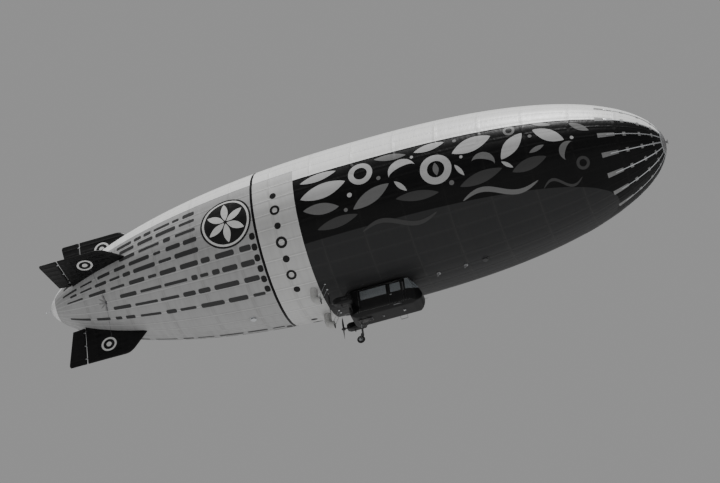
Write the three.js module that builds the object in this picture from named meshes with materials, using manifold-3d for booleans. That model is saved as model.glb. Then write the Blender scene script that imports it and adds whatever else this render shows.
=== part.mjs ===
// A non-rigid advertising airship: a gas envelope with four tail fins, a five-seat gondola with two
// pusher engines under it, and one castering landing wheel. Millimetres, +X to the nose, +Y to port,
// +Z up. The origin is on the envelope's axis at the centre of buoyancy, where the air holds the ship up.

import * as THREE from 'three';
import { mergeVertices } from 'three/addons/utils/BufferGeometryUtils.js';
import Module from 'manifold-3d';

// Envelope
const ENVELOPE_RADIUS = 5000;
const NOSE_X = 18000;
const TAIL_X = -21000;
const WIDEST_X = 450;
const ENVELOPE_WALL = 10;
const FRONT_CURVE = { power: 2.4, root: 0.5, stations: 13 };
const REAR_CURVE = { power: 2.3, root: 0.62, stations: 14 };
const GORES = 32;
const SKIN_GAP = 1;

// Nose mooring gear and stern light
const NOSE_CONE = { radius: 620, thick: 32 };
const SPINDLE = { radius: 70, plateRadius: 160, plateThick: 30, tipX: 18180 };
const BATTENS = { count: 16, width: 80, thick: 30, collarInner: 640, collarOuter: 760, outer: 3100 };
const STERN = { padRadius: 170, padThick: 24, poleRadius: 16, lampRadius: 48, lampLength: 110, endX: -21420 };

// Tail: every fin is built standing up from the axis and turned about X to its place
const FIN_TIP = 4600;
const FIN_CAP = 90;
const FIN_ROOT = 1500;
const HINGE_X = -19000;
const FIN_END = 135;
const FIN_LEAD = { rootX: -15000, rootSpan: 3380, tipX: -16100 };
const FIN_HALF = { root: 130, tip: 75 };
const HINGE_HALF = { root: 100, tip: 60 };
const RUDDER = { root: 2000, trailRootX: -19700, trailTipX: -20100, trailHalf: 12 };
const HINGE_SPANS = [2300, 3270, 4230];
const HINGE = { arm: 36, boss: 45, bore: 23, pin: 18, half: 50, notch: 65, depth: 62 };
const STAY = { x: -17200, span: 3750, wire: 9, padX: -16800, padRadius: 95, padThick: 25 };

// Gondola
const CABIN = { front: 2200, rear: -2300, top: -5080, bottom: -6900, half: 750, wall: 40 };
const SEAM = 2;
const FLOOR_SPLIT = -6720;
const ROOF_SPLIT = -5180;
const NOSE_SPLIT = 1300;
const REAR_SPLIT = -1600;
const SILL = -5960;
const WINDOW_TOP = -5290;
const GLASS = { inset: 14, thick: 10, gap: 1 };
const DOOR = { front: 1150, rear: 270, bottom: -6650, top: -5235, gap: 8 };
const KNUCKLE = { radius: 12, out: 12, length: 60, clear: 6, heights: [-6420, -5480] };

// Power plants, on outriggers at both sides of the cabin's rear
const ENGINE = { y: 1350, z: -6100, front: -1750, rear: -2950, half: 220, up: 250, wall: 20 };
const PROPELLER = { radius: 850, front: -3120, rear: -3330, hub: 95 };
const SCOOP = { x: -4080, mouthX: -3700, bendZ: -5250, mouthZ: -5560, radius: 235, wall: 12 };

// Landing gear
const GEAR = { x: -1750, wheelX: -1900, wheelZ: -8160, tyreRadius: 240, tyreHalf: 75, rimRadius: 135 };
const LEG = { radius: 60, foot: -7790, bore: 31, pin: 26, depth: 170 };

const wasm = await Module();
wasm.setup();

// Solids: three.js geometries that can be joined and cut

function signedVolume(position, index) {
  const [a, b, c] = [new THREE.Vector3(), new THREE.Vector3(), new THREE.Vector3()];
  let volume = 0;
  for (let i = 0; i < index.length; i += 3) {
    a.fromBufferAttribute(position, index[i]);
    b.fromBufferAttribute(position, index[i + 1]);
    c.fromBufferAttribute(position, index[i + 2]);
    volume += a.dot(b.cross(c)) / 6;
  }
  return volume;
}

function solid(geometry) {
  const bare = geometry.clone();
  bare.deleteAttribute('normal');
  bare.deleteAttribute('uv');
  const merged = mergeVertices(bare, 1e-3);
  const corners = merged.index.array;
  const kept = [];
  for (let i = 0; i < corners.length; i += 3) {
    const [a, b, c] = [corners[i], corners[i + 1], corners[i + 2]];
    if (a !== b && b !== c && c !== a) kept.push(a, b, c);
  }
  if (signedVolume(merged.attributes.position, kept) < 0) kept.reverse();
  return new wasm.Manifold(new wasm.Mesh({
    numProp: 3,
    vertProperties: new Float32Array(merged.attributes.position.array),
    triVerts: new Uint32Array(kept),
  }));
}

const joined = (...solids) => solids.reduce((all, next) => all.add(next));

function box([x0, x1], [y0, y1], [z0, z1]) {
  const block = new THREE.BoxGeometry(x1 - x0, y1 - y0, z1 - z0);
  return solid(block.translate((x0 + x1) / 2, (y0 + y1) / 2, (z0 + z1) / 2));
}

// An outline drawn out along an axis: [Y, Z] points along X, [X, Z] along Y, [X, Y] along Z
function prism(outline, axis, from, to) {
  const shape = new THREE.Shape(outline.map(([a, b]) => new THREE.Vector2(a, b)));
  const drawn = new THREE.ExtrudeGeometry(shape, { depth: to - from, bevelEnabled: false });
  if (axis === 'x') {
    const turn = new THREE.Matrix4().makeBasis(
      new THREE.Vector3(0, 1, 0), new THREE.Vector3(0, 0, 1), new THREE.Vector3(1, 0, 0));
    return solid(drawn.applyMatrix4(turn).translate(from, 0, 0));
  }
  if (axis === 'y') return solid(drawn.rotateX(Math.PI / 2).translate(0, to, 0));
  return solid(drawn.translate(0, 0, from));
}

// A profile of [along, radius] points turned about an axis
function turned(profile, axis, segments) {
  const points = profile.map(([along, radius]) => new THREE.Vector2(radius, along));
  const lathe = new THREE.LatheGeometry(points, segments);
  if (axis === 'x') lathe.rotateZ(-Math.PI / 2);
  if (axis === 'z') lathe.rotateX(Math.PI / 2);
  return solid(lathe);
}

function rod(from, to, radius, sides = 12) {
  const [start, end] = [new THREE.Vector3(...from), new THREE.Vector3(...to)];
  const along = end.clone().sub(start);
  const cylinder = new THREE.CylinderGeometry(radius, radius, along.length(), sides);
  const heading = along.clone().normalize();
  cylinder.applyQuaternion(new THREE.Quaternion().setFromUnitVectors(new THREE.Vector3(0, 1, 0), heading));
  cylinder.translate(...start.add(end).multiplyScalar(0.5).toArray());
  return solid(cylinder);
}

// Rings of equal point counts, skinned from the first to the last and closed with a fan at each end
function loft(rings) {
  const count = rings[0].length;
  const last = rings.length - 1;
  const points = rings.flat();
  const middle = (ring) => [0, 1, 2].map((k) => ring.reduce((sum, p) => sum + p[k], 0) / count);
  points.push(middle(rings[0]), middle(rings[last]));
  const index = [];
  for (let i = 0; i < count; i += 1) {
    const next = (i + 1) % count;
    for (let r = 0; r < last; r += 1) {
      const [a, b] = [r * count + i, r * count + next];
      index.push(a, b, b + count, a, b + count, a + count);
    }
    index.push(points.length - 2, next, i, points.length - 1, last * count + i, last * count + next);
  }
  const skin = new THREE.BufferGeometry();
  skin.setAttribute('position', new THREE.Float32BufferAttribute(points.flat(), 3));
  skin.setIndex(index);
  return solid(skin);
}

// A convex outline with every edge moved in by the same distance
function inset(outline, distance) {
  const turn = Math.sign(outline.reduce((sum, [x, y], i) => {
    const [nx, ny] = outline[(i + 1) % outline.length];
    return sum + x * ny - nx * y;
  }, 0));
  const edges = outline.map(([x, y], i) => {
    const [nx, ny] = outline[(i + 1) % outline.length];
    const length = Math.hypot(nx - x, ny - y);
    const [ux, uy] = [(nx - x) / length, (ny - y) / length];
    return { x: x - turn * uy * distance, y: y + turn * ux * distance, ux, uy };
  });
  return edges.map((edge, i) => {
    const before = edges[(i + edges.length - 1) % edges.length];
    const cross = before.ux * edge.uy - before.uy * edge.ux;
    const along = ((edge.x - before.x) * edge.uy - (edge.y - before.y) * edge.ux) / cross;
    return [before.x + along * before.ux, before.y + along * before.uy];
  });
}

// The scene: one named mesh for each piece

const MATERIALS = {
  envelope: { color: 0xb9bcbf, roughness: 0.55, metalness: 0 },
  fabric_black: { color: 0x16171a, roughness: 0.6, metalness: 0 },
  gondola: { color: 0x1b1c1f, roughness: 0.35, metalness: 0.1 },
  glass: { color: 0x55606a, roughness: 0.05, metalness: 0 },
  metal: { color: 0x9a9ea3, roughness: 0.35, metalness: 0.9 },
  engine: { color: 0x4a4d50, roughness: 0.5, metalness: 0.7 },
  blade: { color: 0x24211e, roughness: 0.4, metalness: 0 },
  duct: { color: 0xc4c6c8, roughness: 0.6, metalness: 0 },
  seat: { color: 0x3c4046, roughness: 0.8, metalness: 0 },
  rubber: { color: 0x1a1a1b, roughness: 0.9, metalness: 0 },
  plastic: { color: 0x2c2e31, roughness: 0.55, metalness: 0 },
};

const airship = new THREE.Group();

function place(name, shape, look, turnX = 0) {
  const { vertProperties, triVerts } = shape.getMesh();
  const geometry = new THREE.BufferGeometry();
  geometry.setAttribute('position', new THREE.BufferAttribute(new Float32Array(vertProperties), 3));
  geometry.setIndex(new THREE.BufferAttribute(new Uint32Array(triVerts), 1));
  geometry.computeVertexNormals();
  const mesh = new THREE.Mesh(geometry, new THREE.MeshStandardMaterial(MATERIALS[look]));
  mesh.name = name;
  mesh.rotation.x = turnX;
  airship.add(mesh);
}

const SIDES = [{ side: 'starboard', sign: -1 }, { side: 'port', sign: 1 }];

// Envelope

function envelopeRadius(x) {
  const curve = x > WIDEST_X ? FRONT_CURVE : REAR_CURVE;
  const reach = x > WIDEST_X ? NOSE_X - WIDEST_X : WIDEST_X - TAIL_X;
  const share = Math.min(Math.abs(x - WIDEST_X) / reach, 1);
  return ENVELOPE_RADIUS * (1 - share ** curve.power) ** curve.root;
}

// Stations close up towards the nose and the stern, where the envelope rounds off
function envelopeStations() {
  const stations = [];
  for (let i = 0; i <= REAR_CURVE.stations; i += 1) {
    const share = Math.cos((i / REAR_CURVE.stations) * Math.PI / 2);
    stations.push(WIDEST_X + share * (TAIL_X - WIDEST_X));
  }
  for (let i = 1; i <= FRONT_CURVE.stations; i += 1) {
    const share = Math.sin((i / FRONT_CURVE.stations) * Math.PI / 2);
    stations.push(WIDEST_X + share * (NOSE_X - WIDEST_X));
  }
  return stations;
}

// The envelope's solid form, grown outwards by a distance along the surface's normals
function envelopeBody(growth) {
  const points = envelopeStations().map((x) => [x, envelopeRadius(x)]);
  const last = points.length - 1;
  const profile = points.map(([x, radius], i) => {
    if (i === 0) return [x - growth, 0];
    if (i === last) return [x + growth, 0];
    const [before, after] = [points[i - 1], points[i + 1]];
    const run = Math.hypot(after[0] - before[0], after[1] - before[1]);
    const normal = [-(after[1] - before[1]) / run, (after[0] - before[0]) / run];
    return [x + growth * normal[0], radius + growth * normal[1]];
  });
  return turned(profile, 'x', GORES);
}

const envelopeClear = envelopeBody(SKIN_GAP);
const layer = (thick) => envelopeBody(SKIN_GAP + thick).subtract(envelopeClear);

// Valves: name, x, angle down from port round the belly in degrees, radius, height
const VALVES = [
  ['helium_valve', -3000, 62, 260, 110],
  ['air_valve_fore', 6200, 90, 240, 120],
  ['air_valve_aft', -8300, 90, 240, 120],
];
const VENT_RADIUS = 150;

function radialRod(x, degrees, inner, outer, radius, sides) {
  const angle = THREE.MathUtils.degToRad(degrees);
  const [y, z] = [Math.cos(angle), -Math.sin(angle)];
  return rod([x, inner * y, inner * z], [x, outer * y, outer * z], radius, sides);
}

function envelope() {
  const [, ventX, ventAngle] = VALVES[2];
  const vent = radialRod(ventX, ventAngle, ENVELOPE_RADIUS * 0.5, ENVELOPE_RADIUS * 1.1, VENT_RADIUS, 12);
  return envelopeBody(0).subtract(envelopeBody(-ENVELOPE_WALL)).subtract(vent);
}

place('envelope', envelope(), 'envelope');

for (const [name, x, degrees, radius, height] of VALVES) {
  const skin = envelopeRadius(x);
  const body = radialRod(x, degrees, skin * 0.9, skin + height * 0.6, radius, 16);
  const cap = radialRod(x, degrees, skin * 0.9, skin + height, radius * 0.6, 16);
  place(name, body.add(cap).subtract(envelopeClear), 'metal');
}

// Nose cone with the mooring spindle and its flat end plate, and the battens that stiffen the nose

function noseCone() {
  const reach = rod([NOSE_X - 1500, 0, 0], [NOSE_X + 500, 0, 0], NOSE_CONE.radius, GORES);
  const cap = layer(NOSE_CONE.thick).intersect(reach);
  const spindle = rod([NOSE_X + SKIN_GAP + 5, 0, 0], [SPINDLE.tipX, 0, 0], SPINDLE.radius, 24);
  const plate = rod([SPINDLE.tipX - SPINDLE.plateThick, 0, 0], [SPINDLE.tipX, 0, 0], SPINDLE.plateRadius, 24);
  return joined(cap, spindle, plate);
}

function noseBattens() {
  const front = [NOSE_X - 6000, NOSE_X + 500];
  const ring = (radius) => rod([front[0], 0, 0], [front[1], 0, 0], radius, GORES);
  const collar = ring(BATTENS.collarOuter).subtract(ring(BATTENS.collarInner));
  const reach = ring(BATTENS.outer).subtract(ring(BATTENS.collarInner));
  const half = BATTENS.width / 2;
  let spokes = collar;
  for (let i = 0; i < BATTENS.count / 2; i += 1) {
    const spoke = box(front, [-half, half], [-ENVELOPE_RADIUS, ENVELOPE_RADIUS]);
    spokes = spokes.add(spoke.rotate([(i + 0.5) * (360 / BATTENS.count), 0, 0]).intersect(reach));
  }
  return layer(BATTENS.thick).intersect(spokes);
}

function sternLight() {
  const reach = rod([TAIL_X - 300, 0, 0], [TAIL_X + 1500, 0, 0], STERN.padRadius, GORES);
  const pad = layer(STERN.padThick).intersect(reach);
  const lampX = STERN.endX + STERN.lampLength;
  const pole = rod([lampX - 5, 0, 0], [TAIL_X - SKIN_GAP - 5, 0, 0], STERN.poleRadius, 12);
  const lamp = rod([STERN.endX, 0, 0], [lampX, 0, 0], STERN.lampRadius, 16);
  return joined(pad, pole, lamp);
}

place('nose_cone', noseCone(), 'metal');
place('nose_battens', noseBattens(), 'metal');
place('stern_light', sternLight(), 'metal');

// Tail fins with their hinged rudders and elevators

const mix = (low, high, share) => low + (high - low) * share;
const spanShare = (span) => (span - FIN_ROOT) / (FIN_TIP - FIN_ROOT);
const finHalf = (span) => mix(FIN_HALF.root, FIN_HALF.tip, spanShare(span));
const hingeHalf = (span) => mix(HINGE_HALF.root, HINGE_HALF.tip, spanShare(span));
const NOSE_STEPS = 8;

function finLeadX(span) {
  const slope = (FIN_LEAD.tipX - FIN_LEAD.rootX) / (FIN_TIP - FIN_LEAD.rootSpan);
  return FIN_LEAD.rootX + slope * (span - FIN_LEAD.rootSpan);
}

// A section across the span: a rounded nose, then straight sides to a square end
function section(span, noseX, noseLength, half, endX, endHalf) {
  const ring = [[endX, -endHalf, span]];
  for (let i = 0; i <= NOSE_STEPS; i += 1) {
    const angle = (i / NOSE_STEPS - 0.5) * Math.PI;
    ring.push([noseX - noseLength + noseLength * Math.cos(angle), half * Math.sin(angle), span]);
  }
  ring.push([endX, endHalf, span]);
  return ring;
}

function finSection(span, thin = 1, setBack = 0) {
  const half = finHalf(span) * thin;
  const endHalf = hingeHalf(span) * thin;
  return section(span, finLeadX(span) - setBack, half * 4, half, HINGE_X + FIN_END, endHalf);
}

function rudderSection(span, thin = 1, cut = 0) {
  const share = (span - RUDDER.root) / (FIN_TIP - RUDDER.root);
  const half = hingeHalf(span) * thin;
  const trail = mix(RUDDER.trailRootX, RUDDER.trailTipX, share) + cut;
  return section(span, HINGE_X + half, half, half, trail, RUDDER.trailHalf * thin);
}

function fin() {
  const body = loft([
    finSection(FIN_ROOT),
    finSection(FIN_TIP - FIN_CAP),
    finSection(FIN_TIP, 0.4, FIN_CAP),
  ]).subtract(envelopeClear);
  const arms = HINGE_SPANS.map((span) => {
    const reach = [span - HINGE.half, span + HINGE.half];
    const arm = box([HINGE_X, HINGE_X + FIN_END + 30], [-HINGE.arm, HINGE.arm], reach);
    const boss = rod([HINGE_X, 0, reach[0]], [HINGE_X, 0, reach[1]], HINGE.boss, 16);
    const bore = rod([HINGE_X, 0, reach[0] - 10], [HINGE_X, 0, reach[1] + 10], HINGE.bore, 16);
    return arm.add(boss).subtract(bore);
  });
  return joined(body, ...arms);
}

function rudder() {
  const notch = HINGE.notch;
  let body = loft([
    rudderSection(RUDDER.root),
    rudderSection(FIN_TIP - FIN_CAP),
    rudderSection(FIN_TIP, 0.4, FIN_CAP),
  ]);
  for (const span of HINGE_SPANS) {
    const reach = [span - notch, span + notch];
    body = body.subtract(box([HINGE_X - HINGE.depth, HINGE_X + 200], [-200, 200], reach));
    body = body.add(rod([HINGE_X, 0, reach[0] - 20], [HINGE_X, 0, reach[1] + 20], HINGE.pin, 12));
  }
  return body;
}

// Each quadrant's stays: a patch on the envelope between two fins, with a wire to the side of each fin
function stays() {
  const diagonal = Math.SQRT1_2;
  const skin = envelopeRadius(STAY.padX);
  const foot = [STAY.padX, -skin * diagonal, skin * diagonal];
  const pad = radialRod(STAY.padX, 225, skin * 0.9, skin + STAY.padThick, STAY.padRadius, 16);
  const reach = finHalf(STAY.span) + 4;
  const toTop = rod(foot, [STAY.x, -reach, STAY.span], STAY.wire, 8);
  const toSide = rod(foot, [STAY.x, -STAY.span, reach], STAY.wire, 8);
  return joined(pad, toTop, toSide).subtract(envelopeClear);
}

// Fin name, control surface name, stays name, turn about X from upright in degrees
const TAIL = [
  ['fin_top', 'rudder_top', 'stays_top_starboard', 0],
  ['fin_starboard', 'elevator_starboard', 'stays_bottom_starboard', 90],
  ['fin_bottom', 'rudder_bottom', 'stays_bottom_port', 180],
  ['fin_port', 'elevator_port', 'stays_top_port', 270],
];
const [finShape, rudderShape, staysShape] = [fin(), rudder(), stays()];

for (const [finName, surfaceName, staysName, degrees] of TAIL) {
  const turn = THREE.MathUtils.degToRad(degrees);
  place(finName, finShape, 'fabric_black', turn);
  place(surfaceName, rudderShape, 'fabric_black', turn);
  place(staysName, staysShape, 'metal', turn);
}

// Gondola cabin: a shell from three outlines, split where its panels meet

// Outlines: side is [x, z], plan and cross-section are half outlines, mirrored in the plane y = 0
const CABIN_SIDE = [
  [1450, CABIN.top], [1720, -5350], [1930, -5640], [2080, -5940], [2170, -6150], [CABIN.front, -6350],
  [2150, -6560], [2010, -6750], [1840, -6850], [1610, CABIN.bottom],
  [-1920, CABIN.bottom], [-2110, -6830], [-2240, -6680], [CABIN.rear, -6450],
  [CABIN.rear, -5560], [-2230, -5290], [-2120, CABIN.top],
];
const CABIN_PLAN = [
  [2290, 120], [2220, 300], [2060, 460], [1840, 590], [1580, 690], [1300, CABIN.half],
  [-1330, CABIN.half], [-1700, 722], [-2040, 640], [-2280, 500], [-2400, 320],
];
const CABIN_CROSS = [
  [CABIN.half - 60, CABIN.top + 100], [CABIN.half, -5300], [CABIN.half, -6430], [CABIN.half - 18, -6580],
  [CABIN.half - 70, -6715], [CABIN.half - 155, -6825], [CABIN.half - 280, -6920],
];

const mirrored = (half, flip) => [...half, ...half.map(flip).reverse()];

function cabinBody(depth) {
  const plan = mirrored(CABIN_PLAN, ([x, y]) => [x, -y]);
  const cross = mirrored(CABIN_CROSS, ([y, z]) => [-y, z]);
  const side = prism(inset(CABIN_SIDE, depth), 'y', -CABIN.half * 2, CABIN.half * 2);
  return side
    .intersect(prism(inset(plan, depth), 'z', CABIN.bottom - 200, CABIN.top + 200))
    .intersect(prism(inset(cross, depth), 'x', CABIN.rear - 200, CABIN.front + 200));
}

const cabinShell = cabinBody(0).subtract(cabinBody(CABIN.wall));
const glassShell = cabinBody(GLASS.inset).subtract(cabinBody(GLASS.inset + GLASS.thick));
const cabinClear = cabinBody(-SKIN_GAP);
const WIDE = [-2000, 2000];
const AHEAD = CABIN.front + 500;
const BEHIND = CABIN.rear - 500;

const shrunk = (range, gap) => [range[0] + gap, range[1] - gap];
const halfSpace = (sign) => (sign > 0 ? [0, WIDE[1]] : [WIDE[0], 0]);

const LOW = [CABIN.bottom - 500, FLOOR_SPLIT];
const MIDDLE = [FLOOR_SPLIT + SEAM, ROOF_SPLIT - SEAM];
const HIGH = [ROOF_SPLIT, CABIN.top + 500];
const MULLION = 32;
const SIDE_WINDOW = { x: [-1480, 150], z: [SILL, WINDOW_TOP] };
const DOOR_WINDOW = { x: [DOOR.rear + 110, DOOR.front - 110], z: [SILL, WINDOW_TOP - 40] };
const REAR_WINDOW = { y: [-380, 380], z: [-5940, -5560] };

place('cabin_floor', cabinShell.intersect(box([BEHIND, AHEAD], WIDE, LOW)), 'gondola');
place('cabin_roof', cabinShell.intersect(box([BEHIND, AHEAD], WIDE, HIGH)), 'gondola');

function cabinNose() {
  const bonnet = box([NOSE_SPLIT, AHEAD], WIDE, [MIDDLE[0], SILL]);
  const mullion = box([NOSE_SPLIT, AHEAD], [-MULLION, MULLION], MIDDLE);
  return cabinShell.intersect(bonnet.add(mullion));
}

function cabinRear() {
  const wall = cabinShell.intersect(box([BEHIND, REAR_SPLIT], WIDE, MIDDLE));
  return wall.subtract(box([BEHIND, CABIN.rear + 300], REAR_WINDOW.y, REAR_WINDOW.z));
}

place('cabin_nose', cabinNose(), 'gondola');
place('cabin_rear', cabinRear(), 'gondola');
const rearOpening = [shrunk(REAR_WINDOW.y, GLASS.gap), shrunk(REAR_WINDOW.z, GLASS.gap)];
place('rear_glass', glassShell.intersect(box([BEHIND, CABIN.rear + 300], ...rearOpening)), 'glass');

// A hinge knuckle at the door's front edge: a barrel on the hinge line with a leaf to one side
function knuckle(sign, z, leafX) {
  const line = sign * (CABIN.half + KNUCKLE.out);
  const hinge = DOOR.front - DOOR.gap / 2;
  const reach = [z, z + KNUCKLE.length];
  const leafY = [line - sign * 14, line + sign * 6].sort((a, b) => a - b);
  const barrel = rod([hinge, line, reach[0]], [hinge, line, reach[1]], KNUCKLE.radius, 12);
  return barrel.add(box([hinge, hinge + leafX].sort((a, b) => a - b), leafY, reach));
}

function knuckleClear(sign, z) {
  const line = sign * (CABIN.half + KNUCKLE.out);
  const hinge = DOOR.front - DOOR.gap / 2;
  const [low, high] = [z - KNUCKLE.clear, z + KNUCKLE.length + KNUCKLE.clear];
  return rod([hinge, line, low], [hinge, line, high], KNUCKLE.radius + KNUCKLE.clear, 12);
}

function cabinSide(sign) {
  const wall = cabinShell.intersect(
    box([REAR_SPLIT + SEAM, NOSE_SPLIT - SEAM], halfSpace(sign), MIDDLE));
  const doorway = box([DOOR.rear, DOOR.front], halfSpace(sign), [DOOR.bottom, DOOR.top]);
  const cut = wall.subtract(doorway).subtract(box(SIDE_WINDOW.x, halfSpace(sign), SIDE_WINDOW.z));
  return KNUCKLE.heights.reduce((all, z) => all.add(knuckle(sign, z, 40)), cut);
}

function door(sign) {
  const reach = box(
    shrunk([DOOR.rear, DOOR.front], DOOR.gap), halfSpace(sign), shrunk([DOOR.bottom, DOOR.top], DOOR.gap));
  const panel = cabinShell.intersect(reach);
  const cut = panel.subtract(box(DOOR_WINDOW.x, halfSpace(sign), DOOR_WINDOW.z));
  return KNUCKLE.heights.reduce((all, z) => {
    const above = z + KNUCKLE.length + SEAM;
    return all.subtract(knuckleClear(sign, z)).add(knuckle(sign, above, -40));
  }, cut);
}

function pane(sign, { x, z }) {
  return glassShell.intersect(box(shrunk(x, GLASS.gap), halfSpace(sign), shrunk(z, GLASS.gap)));
}

function windscreen(sign) {
  const near = MULLION + GLASS.gap;
  const reach = sign > 0 ? [near, WIDE[1]] : [WIDE[0], -near];
  return glassShell.intersect(
    box([NOSE_SPLIT + SEAM, AHEAD], reach, [SILL + GLASS.gap, ROOF_SPLIT - SEAM]));
}

for (const { side, sign } of SIDES) {
  place(`cabin_side_${side}`, cabinSide(sign), 'gondola');
  place(`side_glass_${side}`, pane(sign, SIDE_WINDOW), 'glass');
  place(`windscreen_${side}`, windscreen(sign), 'glass');
  place(`door_${side}`, door(sign), 'gondola');
  place(`door_glass_${side}`, pane(sign, DOOR_WINDOW), 'glass');
}

// The fairing that closes the gap between the cabin's roof and the envelope's belly
const FAIRING_PLAN = [
  [1650, 90], [1600, 300], [1450, 520], [1180, 690], [800, 780],
  [-1500, 780], [-1950, 710], [-2250, 560], [-2440, 330], [-2500, 90],
];

function fairing() {
  const plan = mirrored(FAIRING_PLAN, ([x, y]) => [x, -y]);
  return prism(plan, 'z', CABIN.top + SKIN_GAP, CABIN.top + 400).subtract(envelopeClear);
}

place('gondola_fairing', fairing(), 'gondola');

// Cabin fittings, all standing on the floor

const FLOOR = CABIN.bottom + CABIN.wall + SKIN_GAP;
const FRONT_SEAT = { x: [430, 880], inner: 100, outer: 560, cushion: -6440, back: -5860, backThick: 110 };

function frontSeats() {
  const rail = box([500, 820], [120 - FRONT_SEAT.outer, FRONT_SEAT.outer - 120], [FLOOR, FLOOR + 40]);
  const seats = SIDES.map(({ sign }) => {
    const y = [sign * FRONT_SEAT.inner, sign * FRONT_SEAT.outer].sort((a, b) => a - b);
    const stand = box([520, 800], shrunk(y, 90), [FLOOR + 20, FRONT_SEAT.cushion - 120]);
    const cushion = box(FRONT_SEAT.x, y, [FRONT_SEAT.cushion - 130, FRONT_SEAT.cushion]);
    const backX = [FRONT_SEAT.x[0] - 10, FRONT_SEAT.x[0] + FRONT_SEAT.backThick];
    const back = box(backX, y, [FRONT_SEAT.cushion - 60, FRONT_SEAT.back]);
    const rest = box(shrunk(backX, 15), shrunk(y, 110), [FRONT_SEAT.back - 20, FRONT_SEAT.back + 170]);
    return joined(stand, cushion, back, rest);
  });
  return joined(rail, ...seats);
}

function rearBench() {
  const base = box([-1250, -800], [-420, 420], [FLOOR, -6560]);
  const cushion = box([-1300, -760], [-640, 640], [-6570, -6440]);
  const back = box([-1380, -1250], [-640, 640], [-6560, -5800]);
  return joined(base, cushion, back);
}

function instrumentPanel() {
  const desk = box([1500, 1640], [-470, 470], [-6200, -5985]);
  const pedestal = box([1400, 1560], [-120, 120], [FLOOR, -6100]);
  return desk.add(pedestal);
}

function elevatorWheel() {
  const hub = [1040, 0, -6420];
  const ring = solid(new THREE.TorusGeometry(190, 14, 6, 18).rotateX(Math.PI / 2).translate(...hub));
  const spokes = [0, 1, 2].map((i) => {
    const angle = (i / 3) * Math.PI;
    const [dx, dz] = [190 * Math.cos(angle), 190 * Math.sin(angle)];
    return rod([hub[0] - dx, 0, hub[2] - dz], [hub[0] + dx, 0, hub[2] + dz], 9, 8);
  });
  const axle = rod([hub[0], -55, hub[2]], [hub[0], 25, hub[2]], 22, 12);
  const stand = box([hub[0] - 45, hub[0] + 45], [-65, -35], [FLOOR, hub[2] + 30]);
  const foot = box([hub[0] - 90, hub[0] + 90], [-85, -15], [FLOOR, FLOOR + 30]);
  return joined(ring, ...spokes, axle, stand, foot);
}

place('front_seats', frontSeats(), 'seat');
place('rear_bench', rearBench(), 'seat');
place('instrument_panel', instrumentPanel(), 'plastic');
place('elevator_wheel', elevatorWheel(), 'metal');

// Outriggers, cowls, engines, propellers and the air scoops in the propellers' wash

function outrigger(sign) {
  const chord = [[-1840, 0], [-1900, 42], [-2010, 60], [-2140, 44], [-2270, 8],
    [-2270, -8], [-2140, -44], [-2010, -60], [-1900, -42]];
  const spar = chord.map(([x, z]) => [x, ENGINE.z + z]);
  const reach = [sign * 400, sign * (ENGINE.y - ENGINE.half - SKIN_GAP)].sort((a, b) => a - b);
  const brace = rod([-2050, sign * 500, -6560], [-2050, sign * 1080, ENGINE.z], 32, 10);
  return prism(spar, 'y', ...reach).add(brace).subtract(cabinClear);
}

const COWL_SIDE = [
  [ENGINE.front, 60], [ENGINE.front, -90], [ENGINE.front - 60, -190], [ENGINE.front - 190, -ENGINE.up + 15],
  [ENGINE.front - 400, -ENGINE.up], [ENGINE.rear + 420, -ENGINE.up], [ENGINE.rear + 170, -215],
  [ENGINE.rear, -150], [ENGINE.rear, 150], [ENGINE.rear + 170, 215], [ENGINE.rear + 420, ENGINE.up],
  [ENGINE.front - 400, ENGINE.up], [ENGINE.front - 170, ENGINE.up - 40], [ENGINE.front - 45, 150],
];
const COWL_PLAN = [
  [ENGINE.front + 1, 90], [ENGINE.front - 60, 170], [ENGINE.front - 200, ENGINE.half],
  [ENGINE.rear + 450, ENGINE.half], [ENGINE.rear + 180, 196], [ENGINE.rear - 1, 140],
];
const COWL_CROSS = [
  [110, 252], [178, 218], [ENGINE.half, 140], [ENGINE.half, -140], [178, -218], [110, -252],
];

function cowlBody(depth) {
  const plan = mirrored(COWL_PLAN, ([x, y]) => [x, -y]);
  const cross = mirrored(COWL_CROSS, ([y, z]) => [-y, z]);
  return prism(inset(COWL_SIDE, depth), 'y', -500, 500)
    .intersect(prism(inset(plan, depth), 'z', -500, 500))
    .intersect(prism(inset(cross, depth), 'x', ENGINE.rear - 200, ENGINE.front + 200));
}

const EXHAUST = { x: -2500, y: 90, radius: 38, hole: 55, reach: 330 };

function cowl() {
  const intake = box([ENGINE.front - 60, ENGINE.front + 100], [-90, 90], [-90, 60]);
  const outlet = rod([ENGINE.rear - 100, 0, 0], [ENGINE.rear + 60, 0, 0], 120, 16);
  const pipeHole = rod([EXHAUST.x, EXHAUST.y, 0], [EXHAUST.x, EXHAUST.y, -500], EXHAUST.hole, 12);
  return cowlBody(0).subtract(cowlBody(ENGINE.wall)).subtract(intake).subtract(outlet).subtract(pipeHole);
}

function engine() {
  const block = box([-2590, -2050], [-165, 165], [-150, 165]);
  const shaft = rod([-2500, 0, 0], [PROPELLER.front + 8, 0, 0], 42, 16);
  const flange = rod([PROPELLER.front + 8, 0, 0], [PROPELLER.front + 28, 0, 0], 80, 16);
  const pipe = rod([EXHAUST.x, EXHAUST.y, -100], [EXHAUST.x, EXHAUST.y, -EXHAUST.reach], EXHAUST.radius, 12);
  return joined(block, shaft, flange, pipe);
}

// Blade sections: share of the radius, chord, thickness, pitch in degrees
const BLADE = [
  [0.06, 90, 60, 60],
  [0.2, 120, 42, 50],
  [0.45, 150, 26, 32],
  [0.75, 125, 16, 21],
  [0.95, 80, 9, 17],
  [1.0, 40, 5, 16],
];

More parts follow.
